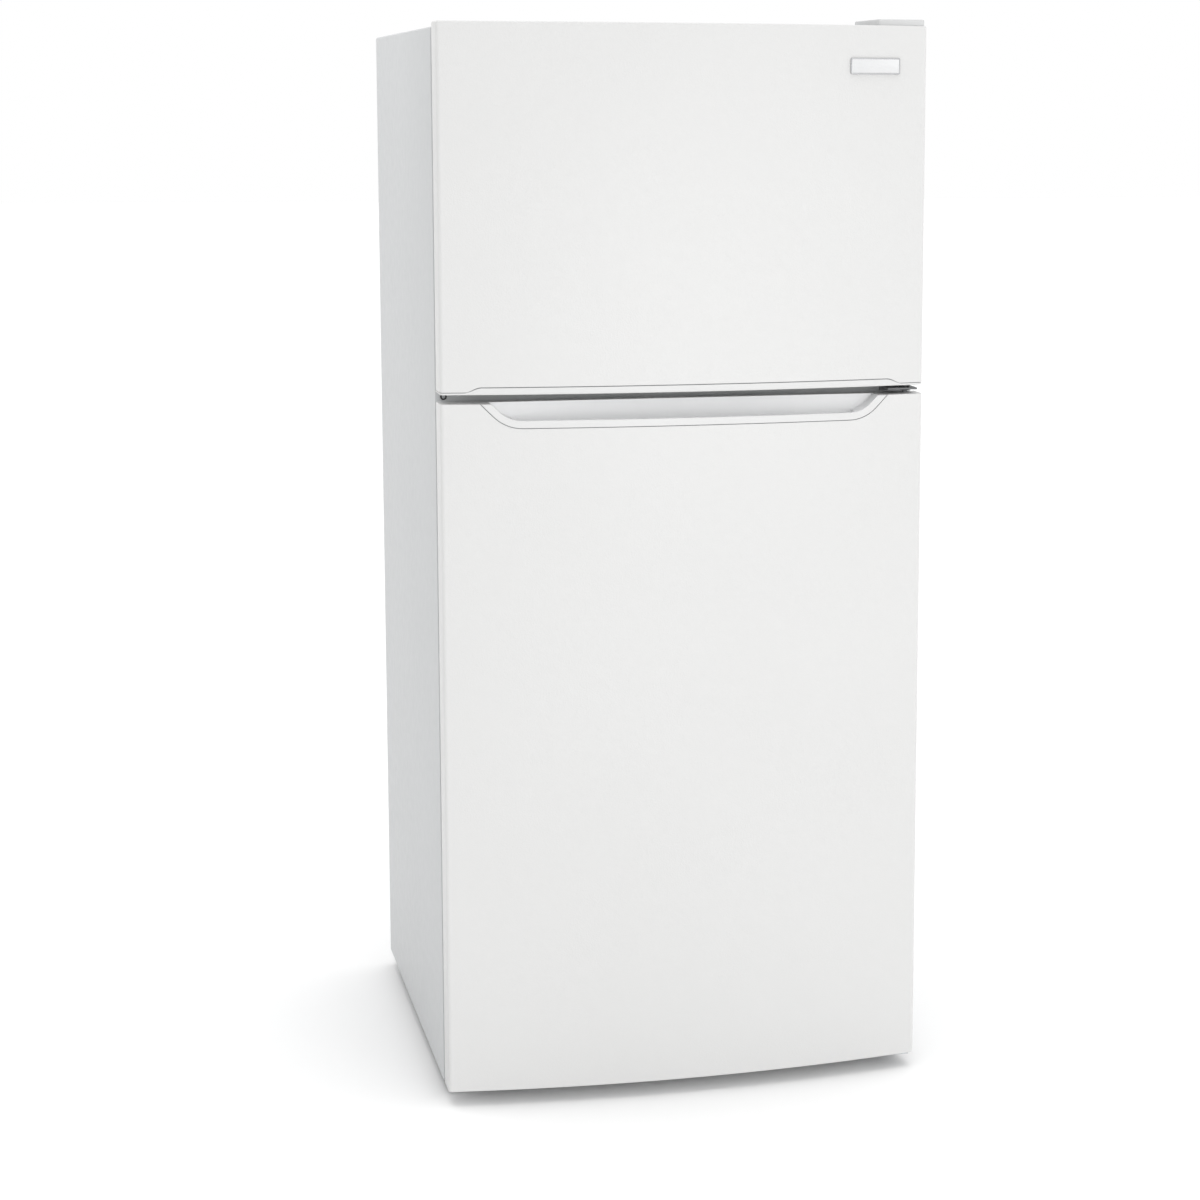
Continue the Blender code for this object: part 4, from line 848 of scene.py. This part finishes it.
def compartments():
    rail_low, rail_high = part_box("mullion_rail")
    front = rail_low.y
    half, floor, ceiling = (value for value in FREEZER_ROOM.values())
    low = (-half - LINER, front, floor - LINER)
    high = (half + LINER, ROOM_BACK + LINER, ceiling + LINER)
    liner = block("freezer_cavity", low, high, "liner_moulding", 0.008, 0.0, "Y")
    weld(liner, flange(front, rail_high.z + GAP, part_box("freezer_liner")[1].z))
    carve(liner, room(front, **FREEZER_ROOM))
    fit_out(liner, "freezer_liner", half, [("freezer_shelf", SHELF_END)])

    half, floor, ceiling = (value for value in FRIDGE_ROOM.values())
    y, z, back, bottom = ROOM_STEP_Y + LINER, ROOM_STEP_Z - LINER, ROOM_BACK + LINER, floor - LINER
    top = ceiling + LINER
    side = [(front, bottom), (y, bottom), (y, z), (back, z), (back, top), (front, top)]
    ends = -half - LINER, half + LINER
    liner = slab("fridge_cavity", side, "X", *ends, "liner_moulding", 0.0)
    weld(liner, flange(front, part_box("fridge_liner")[0].z, rail_low.z - GAP))
    lower = room(front, **FRIDGE_ROOM, back=ROOM_STEP_Y)
    carve(liner, lower, room(front, half, ROOM_STEP_Z, ceiling))
    shelf_ends = [("lower_glass_shelf", SHELF_END), ("upper_glass_shelf", SHELF_END)]
    fit_out(liner, "fridge_liner", half, [*shelf_ends, ("crisper_cover", COVER_END)])
    # The mullion rail takes the cabinet's darkened enamel: painted shade.
    soften(paint("mullion_rail", "cabinet_enamel"), 0.0006)
    paint("cabinet_foam", "foam")


# ---- base ---------------------------------------------------------------------------------------
THREAD_R = 0.0050


def base():
    soften(paint("base_pan", "zinc_steel"), 0.0006)
    grille()
    for side in ("left", "right"):
        name = f"leveling_foot_{side}"
        low, high, centre = sized(name)
        tall = high.z - low.z
        profile = [(0.0175, 0.0), (0.018, 0.003), (0.0155, 0.0055), (0.0115, 0.0075),
            (0.0085, 0.010), (THREAD_R, 0.0105), *thread(THREAD_R, 0.012, tall - 0.001, 0.00125),
            (0.0042, tall)]
        place = (centre.x, centre.y, low.z)
        foot = turned(f"foot_{side}", profile, place, "Z", "grey_moulding", 40)
        dress(foot, name, name, slot="grey_plastic")
        name = f"rear_roller_{side}"
        low, high, centre = sized(name)
        r, half = (high.z - low.z) / 2, (high.x - low.x) / 2
        bore, hub, web, chamfer = 0.0037, 0.007, 0.004, 0.0015
        rise = [(bore, half), (hub, half), (hub + 0.0005, web), (r - 0.005, web),
            (r - 0.0045, half), (r - chamfer, half), (r, half - chamfer)]
        profile = [(x, -h) for x, h in rise] + rise[::-1]
        wheel = tyre(f"roller_{side}", profile, centre, "X", "grey_moulding")
        dress(wheel, name, name, slot="grey_plastic")


def thread(radius, low, high, pitch):
    """Rings of a screw thread's crests and roots, from low to high."""
    found = []
    z = low
    while z < high:
        found += [(radius, z), (radius * 0.86, z + pitch / 2)]
        z += pitch
    return found


def grille():
    name = "toe_grille"
    low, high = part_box(name)
    plate = block("toe_plate", low, high, "grey_moulding", 0.004, 0.0008, "Y")
    count, margin = 44, 0.016
    pitch = (high.x - low.x - 2 * margin) / count
    middles = [low.x + margin + pitch * (i + 0.5) for i in range(count)]
    reach, bottom, top = pitch * 0.32, low.z + 0.006, high.z - 0.007
    cells = [((x - reach, bottom), (x + reach, top)) for x in middles]
    punch(plate, cells, 0.0018, low.y - FAR, high.y + FAR)
    dress(plate, "cabinet", name, slot="grey_plastic")


# ---- hinges -------------------------------------------------------------------------------------
COVER_STEP_Y, COVER_STEP_Z = -0.296, 1.6763


def hinges():
    name = "top_hinge_cover"
    low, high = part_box(name)
    cover = block("hinge_cap", low, high, "cover_moulding", 0.005, 0.0022, "Z", 6)
    far = Vector((FAR, FAR, FAR))
    step = block("step", low - far, (high.x + FAR, COVER_STEP_Y, COVER_STEP_Z), corner=0.0,
        edge=0.0)
    wall = Vector((0.0018, 0.003, 0.003))
    start = (low.x + wall.x, low.y + wall.y, low.z - FAR)
    carve(cover, step, block("hollow", start, high - wall, corner=0.005, edge=0.0))
    dress(cover, "cabinet", name, slot="white_plastic")
    # The centre hinge is painted dark as shade of the gap between the doors.
    for name, finish in (("top", "zinc_steel"), ("center", "hinge_enamel"),
            ("bottom", "zinc_steel")):
        soften(paint(f"{name}_hinge", finish), 0.0008)
    half, r, edge = 0.0030, 0.0080, 0.0008
    rise = [(0.0043, half), (r - edge, half), (r, half - edge)]
    profile = [(x, -h) for x, h in rise] + rise[::-1]
    place = (HINGE_X, HINGE_Y, sized("center_hinge")[2].z)
    dress(tyre("hinge_bush", profile, place, "Z", "black_rubber"))
    name = "hinge_hole_plug"
    low, high, centre = sized(name)
    r, length, place = (high.x - low.x) / 2, high.y - low.y, (centre.x, low.y, centre.z)
    profile = [(r, length), (r, 0.0012), (r * 0.93, 0.0004), (r * 0.86, 0.0), (r * 0.76, 0.0004),
        (r * 0.72, 0.0014), (0.0003, 0.0014)]
    plug = turned("rail_plug", profile, place, "Y", "black_rubber", 32)
    dress(plug, "cabinet", name, slot="black_rubber")
    # The plug's domed middle is grey on the black plug: a painted highlight.
    profile = [(r * 0.55, 0.0020), (r * 0.55, 0.0009), (r * 0.45, 0.0003), (r * 0.25, 0.0),
        (0.0003, 0.0)]
    dress(turned("plug_button_painted_highlight", profile, place, "Y", "grey_moulding", 24))


# ---- inside the compartments --------------------------------------------------------------------
SHELF_SECTION = ((0.0, 0.002), (-0.0012, 0.0004), (-0.003, 0.0), (-0.0145, 0.0), (-0.0165, 0.0012),
    (-0.0175, 0.004), (-0.0175, 0.0085), (-0.0105, 0.0085), (-0.0105, 0.0132), (-0.0085, 0.0146),
    (-0.0045, 0.015), (-0.0015, 0.0144), (0.0, 0.0125))
PANE_INSET, PANE_SEAT, PANE_THICK = 0.0108, 0.0088, 0.004


def shelves():
    for name in ("lower_glass_shelf", "upper_glass_shelf", "crisper_cover"):
        low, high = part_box(name)
        ends = (low.x, low.y), (high.x, high.y)
        edge = rim(f"{name}_rim", *ends, "Z", low.z, SHELF_SECTION, "white_moulding", 0.020)
        start = low + Vector((PANE_INSET, PANE_INSET, PANE_SEAT))
        end = (high.x - PANE_INSET, high.y - PANE_INSET, start.z + PANE_THICK)
        pane = block(f"{name}_pane", start, end, "shelf_glass", 0.010, 0.0004)
        dress(edge, "cabinet", name, slot="white_plastic")
        dress(pane, slot="shelf_glass")
    low, high, centre = sized("freezer_shelf")
    z, r, count, thin = centre.z, (high.z - low.z) / 2, 27, 0.0017
    corners = rounded_rect((low.x + r, low.y + r), (high.x - r, high.y - r), 0.018, 6)
    path = [(x, y, z) for x, y in corners]
    loop = wires("rack_frame", [path], r, "steel_wire", cyclic=True)
    bars = []
    for i in range(count):
        x = low.x + r + (high.x - low.x - 2 * r) * (i + 1) / (count + 1)
        bars.append([(x, low.y + r, z), (x, high.y - r, z)])
    dress(loop, "cabinet", "freezer_shelf", slot="white_paint")
    dress(wires("rack_bars", bars, thin, "steel_wire"), slot="white_paint")


def crispers():
    clear, grey = "crisper_plastic", "grey_moulding"
    for side in ("left", "right"):
        name = f"crisper_{side}"
        low, high, centre = sized(name)
        face, top = low.y + 0.016, high.z - 0.012
        start, end = (low.x, face - 0.0006, low.z), (high.x, high.y, high.z - 0.006)
        tray = tub(f"{name}_tray", start, end, clear, 0.003, 0.016, 0.004, 0.008, 0.003)
        panel = block(f"{name}_face", low, (high.x, face, high.z), clear, 0.010, 0.003, "Y")
        start, end = (centre.x - 0.055, low.y - FAR), (centre.x + 0.055, low.y + 0.010)
        scoop = block("scoop", (*start, top - 0.024), (*end, top), clear, 0.008, 0.0, "Y")
        weld(tray, carve(panel, scoop))
        dress(tray, name, name, slot="clear_plastic")
        name = f"humidity_slider_{side}"
        low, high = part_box(name)
        start = low + Vector((0, 0.0016, 0))
        button = block(f"{name}_button", start, high, grey, 0.0012, 0.0005, "Y")
        pitch = (high.x - low.x) / 6
        reach = pitch * 0.22
        ridges = []
        for i in range(5):
            x = low.x + pitch * (i + 1)
            ends = (x - reach, low.y, low.z + 0.001), (x + reach, low.y + 0.002, high.z - 0.001)
            ridges.append(block("ridge", *ends, grey, 0.0005, 0.0003))
        weld(button, gather("ridges", ridges))
        dress(button, name, name, slot="grey_plastic")


def dial(name, node, axis, facing):
    """Fluted knob with a finger bar across it, a pointer line on the bar, and marks round it."""
    low, high, centre = sized(node)
    index = "XYZ".index(axis)
    half, radius = (high[index] - low[index]) / 2, (high.x - low.x) / 2

    def layer(title, outline, start, end, finish, edge=0.0):
        start, end = sorted((facing * start, facing * end))
        return slab(title, outline, axis, start, end, finish, edge)

    knob = layer(name, fluted(radius), -half, half * 0.35, "white_moulding", 0.0008)
    outline = rounded_rect((-0.0042, -radius * 0.93), (0.0042, radius * 0.93), 0.0035, 5)
    weld(knob, layer("bar", outline, 0, half, "white_moulding", 0.0012))
    knob.data.transform(Matrix.Translation(centre))
    dress(knob, node, node, slot="white_plastic")
    outline = rounded_rect((-0.0006, radius * 0.3), (0.0006, radius * 0.84), 0.0005, 3)
    line = layer(f"{name}_pointer", outline, half - 0.0002, half - 0.0016, "mark_ink")
    line.data.transform(Matrix.Translation(centre + PLACE[axis](0, 0, facing * 0.00015)))
    dress(line, node)
    outline = rounded_rect((-0.0005, radius * 1.18), (0.0005, radius * 1.38), 0.0004, 2)
    marks = []
    for i in range(7):
        mark = layer("mark", outline, -half, -half * 1.02, "mark_ink")
        turn = Matrix.Rotation(math.radians(-135 + 45 * i), 4, axis)
        mark.data.transform(Matrix.Translation(centre) @ turn)
        marks.append(mark)
    ring = gather(f"{name}_marks", marks)
    ring.data.materials[0] = FINISH["mark_ink"]
    dress(ring)


def controls():
    name = "control_housing"
    low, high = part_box(name)
    housing = block("control_case", low, high, "white_moulding", 0.014, 0.004, "Z", 6)
    tip = "light_switch_plunger"
    tip_low, tip_high, centre = sized(tip)
    profile = [(0.0051, low.y - FAR), (0.0051, low.y + 0.012)]
    carve(housing, turned("bore", profile, (centre.x, 0, centre.z), "Y", "white_moulding"))
    bottom, top = low.z + 0.010, low.z + 0.030
    middles = [high.x - 0.020 - 0.012 * i for i in range(8)]
    cells = [((x - 0.003, bottom), (x + 0.003, top)) for x in middles]
    punch(housing, cells, 0.0028, low.y - FAR, low.y + 0.006)
    dress(housing, "cabinet", name, slot="white_plastic")
    r, reach = (tip_high.x - tip_low.x) / 2, (tip_high.y - tip_low.y) / 2
    steps = (0.0004, 0), (r * 0.6, 0.0004), (r * 0.9, 0.0016), (r, 0.0036), (r, 2 * reach)
    profile = [(radius, level - reach) for radius, level in steps]
    dress(turned("door_switch", profile, centre, "Y", "grey_moulding"), tip, tip,
        slot="grey_plastic")
    lens = tub("lamp_lens", *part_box("light_cover"), "lamp_lens", 0.002, 0.012, 0.003, 0.005)
    dress(lens, "cabinet", "light_cover", slot="clear_plastic")
    dial("fridge_dial", "fridge_control_knob", "Z", -1)
    dial("freezer_dial", "freezer_control_knob", "Y", -1)


def evaporator_parts():
    name = "evaporator_cover"
    low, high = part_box(name)
    cover = block("duct_cover", low, high, "liner_moulding", 0.006, 0.0008, "Y")
    through = low.y - FAR, high.y + FAR
    levels = [1.430 + 0.018 * i for i in range(5)]
    punch(cover, [((-0.075, z), (0.075, z + 0.008)) for z in levels], 0.0038, *through)
    middles = [-0.275 + 0.050 * i for i in range(12)]
    punch(cover, [((x - 0.019, 1.160), (x + 0.019, 1.170)) for x in middles], 0.0045, *through)
    dress(cover, "cabinet", name, slot="liner_plastic")
    paint("evaporator", "fin_aluminium")
    for name in ("evaporator_fan_motor", "condenser_fan_motor"):
        soften(paint(name, "black_enamel"), 0.0008)


# ---- machine compartment ------------------------------------------------------------------------
BLADE = ((-1, -0.0007), (0, -0.0013), (1, -0.0007), (1, 0.0007), (0, 0.0002), (-1, 0.0007))
BLADES, SPANS = 5, 4


def rotor(node, axis, centre):
    """Axial fan with a domed hub and curved blades."""
    finish = "grey_moulding"
    low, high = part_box(node)
    centre = Vector(centre)
    index = "XYZ".index(axis)
    half = (high[index] - low[index]) / 2
    radius = max(high.z - centre.z, centre.z - low.z) * 0.985
    hub_r, shaft_r = radius * 0.26, 0.0024
    rise = [(shaft_r, half), (hub_r * 0.92, half), (hub_r, half * 0.8)]
    profile = [(x, -h) for x, h in rise] + rise[::-1]
    hub = tyre(f"{node}_rotor", profile, (0, 0, 0), axis, finish)
    blades = []
    for i in range(BLADES):
        rings = []
        for k in range(SPANS + 1):
            t = k / SPANS
            reach = hub_r * 0.9 + (radius - hub_r * 0.9) * t
            chord = radius * (0.17 + 0.13 * t)
            pitch = math.radians(38 - 16 * t)
            along = math.tau * i / BLADES + 0.10 * t
            ring = []
            for u, v in BLADE:
                across = u * chord
                a = along + across * math.cos(pitch) / max(reach, radius * 0.45)
                lift = across * math.sin(pitch) * 0.55
                lift = max(-half * 0.94, min(half * 0.94, lift)) + v
                ring.append(PLACE[axis](reach * math.cos(a), reach * math.sin(a), lift))
            rings.append(ring)
        blades.append(loft("blade", rings, finish))
    weld(hub, gather("blades", blades))
    refinish(hub, finish)
    hub.data.transform(Matrix.Translation(centre))
    dress(hub, node, node, slot="grey_plastic")


def bent(points, radius, steps=5):
    """A path with its corners rounded."""
    path = [Vector(points[0])]
    for before, here, after in zip(points, points[1:], points[2:]):
        corner = Vector(here)
        into, away = Vector(before) - corner, Vector(after) - corner
        reach = min(radius, into.length * 0.49, away.length * 0.49)
        start = corner + into.normalized() * reach
        end = corner + away.normalized() * reach
        for k in range(steps + 1):
            t = k / steps
            path.append(start * (1 - t) ** 2 + corner * 2 * t * (1 - t) + end * t**2)
    path.append(Vector(points[-1]))
    return path


def machine_space():
    black = "black_enamel"
    low, high, centre = sized("compressor")
    z = low.z
    profile = [(0.020, 0.006), (0.040, 0.008), (0.052, 0.016), (0.0605, 0.032), (0.062, 0.045),
        (0.062, 0.083), (0.0655, 0.086), (0.0655, 0.092), (0.062, 0.095), (0.062, 0.125),
        (0.0595, 0.144), (0.052, 0.159), (0.040, 0.169), (0.024, 0.175), (0.004, high.z - z)]
    pump = turned("pump_shell", profile, (centre.x, centre.y, z), "Z", black, 56)
    weld(pump, block("feet", low, (high.x, high.y, z + 0.007), black, 0.018, 0.0012))
    dress(pump, "cabinet", "compressor", slot="black_paint")
    tray = tub("drain_tray", *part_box("drain_pan"), black, 0.002, 0.012, 0.003, 0.006)
    dress(tray, "cabinet", "drain_pan", slot="black_paint")
    low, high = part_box("condenser")
    r, bend, layers, rows = 0.0032, 0.012, 4, 6
    route = []
    for layer in range(layers):
        y = 0.190 + 0.045 * layer
        levels = [0.090 + 0.030 * i for i in range(rows)]
        if layer % 2:
            levels.reverse()
        for n, level in enumerate(levels):
            ends = low.x + r, high.x - r
            if (n + layer) % 2:
                ends = ends[::-1]
            route += [(x, y, level) for x in ends]
    coil = wires("condenser_tube", [bent(route, bend)], r, black)
    dress(coil, "cabinet", "condenser", slot="black_paint")
    rotor("evaporator_fan", "Y", (0.0, 0.284, 1.470))
    rotor("condenser_fan", "X", (sized("condenser_fan")[2].x, 0.262, 0.155))
    vented_cover()


HOOD = ((-0.0006, 0.0095), (-0.0006, 0.0130), (0.0010, 0.0130), (0.0055, 0.0075), (0.0052, 0.0055),
    (0.0042, 0.0060), (0.0002, 0.0105))


def vented_cover():
    """Rear panel over the machine space, with hooded slots, screws and the cord's gland."""
    name, finish = "machine_cover", "grey_moulding"
    low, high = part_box(name)
    cover = block("vented_panel", low, high, finish, 0.005, 0.0005, "Y")
    cells, hoods = [], []
    for row in range(3):
        for column in range(9):
            x, z = -0.300 + 0.060 * column, 0.120 + 0.045 * row
            cells.append(((x, z), (x + 0.045, z + 0.010)))
            outline = [(high.y + y, z + rise) for y, rise in HOOD[::-1]]
            hoods.append(slab("hood", outline, "X", x - 0.001, x + 0.046, finish, 0.0))
    gland_low, gland_high, centre = sized("power_cord_gland")
    punch(cover, cells, 0.003, low.y - FAR, high.y + FAR)
    profile = [(0.0083, -FAR), (0.0083, FAR)]
    carve(cover, turned("hole", profile, (centre.x, high.y, centre.z), "Y", finish))
    weld(cover, gather("hoods", hoods))
    refinish(cover, finish)
    dress(cover, "cabinet", name, slot="grey_plastic")
    screws("cover_screws", low, high, high.y - 0.0002, 0.012, 3, 0.02)
    reach = (gland_high.y - gland_low.y) / 2
    face = high.y + GAP - centre.y
    profile = [(0.0004, -reach), (0.008, -reach), (0.008, face), (0.011, face),
        (0.011, face + 0.0018), (0.009, face + 0.003), (0.0070, reach - 0.0008), (0.0056, reach),
        (0.0042, reach - 0.0004), (0.0038, reach - 0.0018), (0.0004, reach - 0.0020)]
    gland = turned("cord_gland", profile, centre, "Y", "black_rubber", 40)
    dress(gland, "cabinet", "power_cord_gland", slot="black_rubber")


# ---- light, camera ------------------------------------------------------------------------------
FLOOR_REACH = 40.0
KEY = ("key", (0.9, -4.6, 1.3), (0, 0, 1.15), (2.6, 2.2), 30)
LEFT_FILL = ("left_fill", (-1.3, 0.3, 2.5), (-0.38, 0.0, 1.5), (0.8, 0.8), 5)


def add(name, data, place):
    obj = bpy.data.objects.new(name, data)
    bpy.context.scene.collection.objects.link(obj)
    obj.location = place
    return obj


def lamp(name, place, target, size, power):
    data = bpy.data.lights.new(name, "AREA")
    data.shape = "RECTANGLE"
    data.size, data.size_y = size
    data.energy = power
    aim = Vector(target) - Vector(place)
    add(name, data, place).rotation_euler = aim.to_track_quat("-Z", "Y").to_euler()


def make_world():
    """Even white light all round, weaker from the left."""
    world = bpy.data.worlds.new("studio")
    world.use_nodes = True
    nodes, links = world.node_tree.nodes, world.node_tree.links
    place = nodes.new("ShaderNodeTexCoord")
    split = nodes.new("ShaderNodeSeparateXYZ")
    level = nodes.new("ShaderNodeMapRange")
    level.interpolation_type = "SMOOTHSTEP"
    set_inputs(level, From_Min=-1.0, From_Max=0.0, To_Min=LEFT_LIGHT, To_Max=1.0)
    links.new(place.outputs["Generated"], split.inputs["Vector"])
    links.new(split.outputs["X"], level.inputs["Value"])
    links.new(level.outputs["Result"], nodes["Background"].inputs["Strength"])
    set_inputs(nodes["Background"], Color=(1, 1, 1, 1))
    bpy.context.scene.world = world


def studio():
    reach = FLOOR_REACH
    block("floor", (-reach, -reach, -0.02), (reach, reach, 0.0), "floor", 0.5, 0.0)
    make_world()
    lamp(*KEY)
    lamp(*LEFT_FILL)
    data = bpy.data.lights.new("overhead", "SUN")
    data.energy = 0.8
    data.angle = math.radians(50)
    add("overhead", data, (0, 0, 5))
    bpy.context.scene.view_settings.view_transform = "Standard"


def camera():
    data = bpy.data.cameras.new("view")
    data.sensor_width = 36
    data.lens = CAMERA_LENS
    data.shift_x, data.shift_y = CAMERA_SHIFT
    data.clip_end = 60
    obj = add("view", data, CAMERA_PLACE)
    yaw, pitch = math.radians(CAMERA_YAW), math.radians(CAMERA_PITCH)
    level = math.cos(pitch)
    aim = Vector((-math.sin(yaw) * level, math.cos(yaw) * level, math.sin(pitch)))
    turn = aim.to_track_quat("-Z", "Y").to_matrix().to_4x4()
    roll = Matrix.Rotation(math.radians(CAMERA_ROLL), 4, "Z")
    obj.matrix_world = Matrix.Translation(CAMERA_PLACE) @ turn @ roll
    bpy.context.scene.camera = obj


doors()
wrapper()
rear_sheet()
compartments()
base()
hinges()
shelves()
crispers()
controls()
evaporator_parts()
machine_space()
studio()
camera()
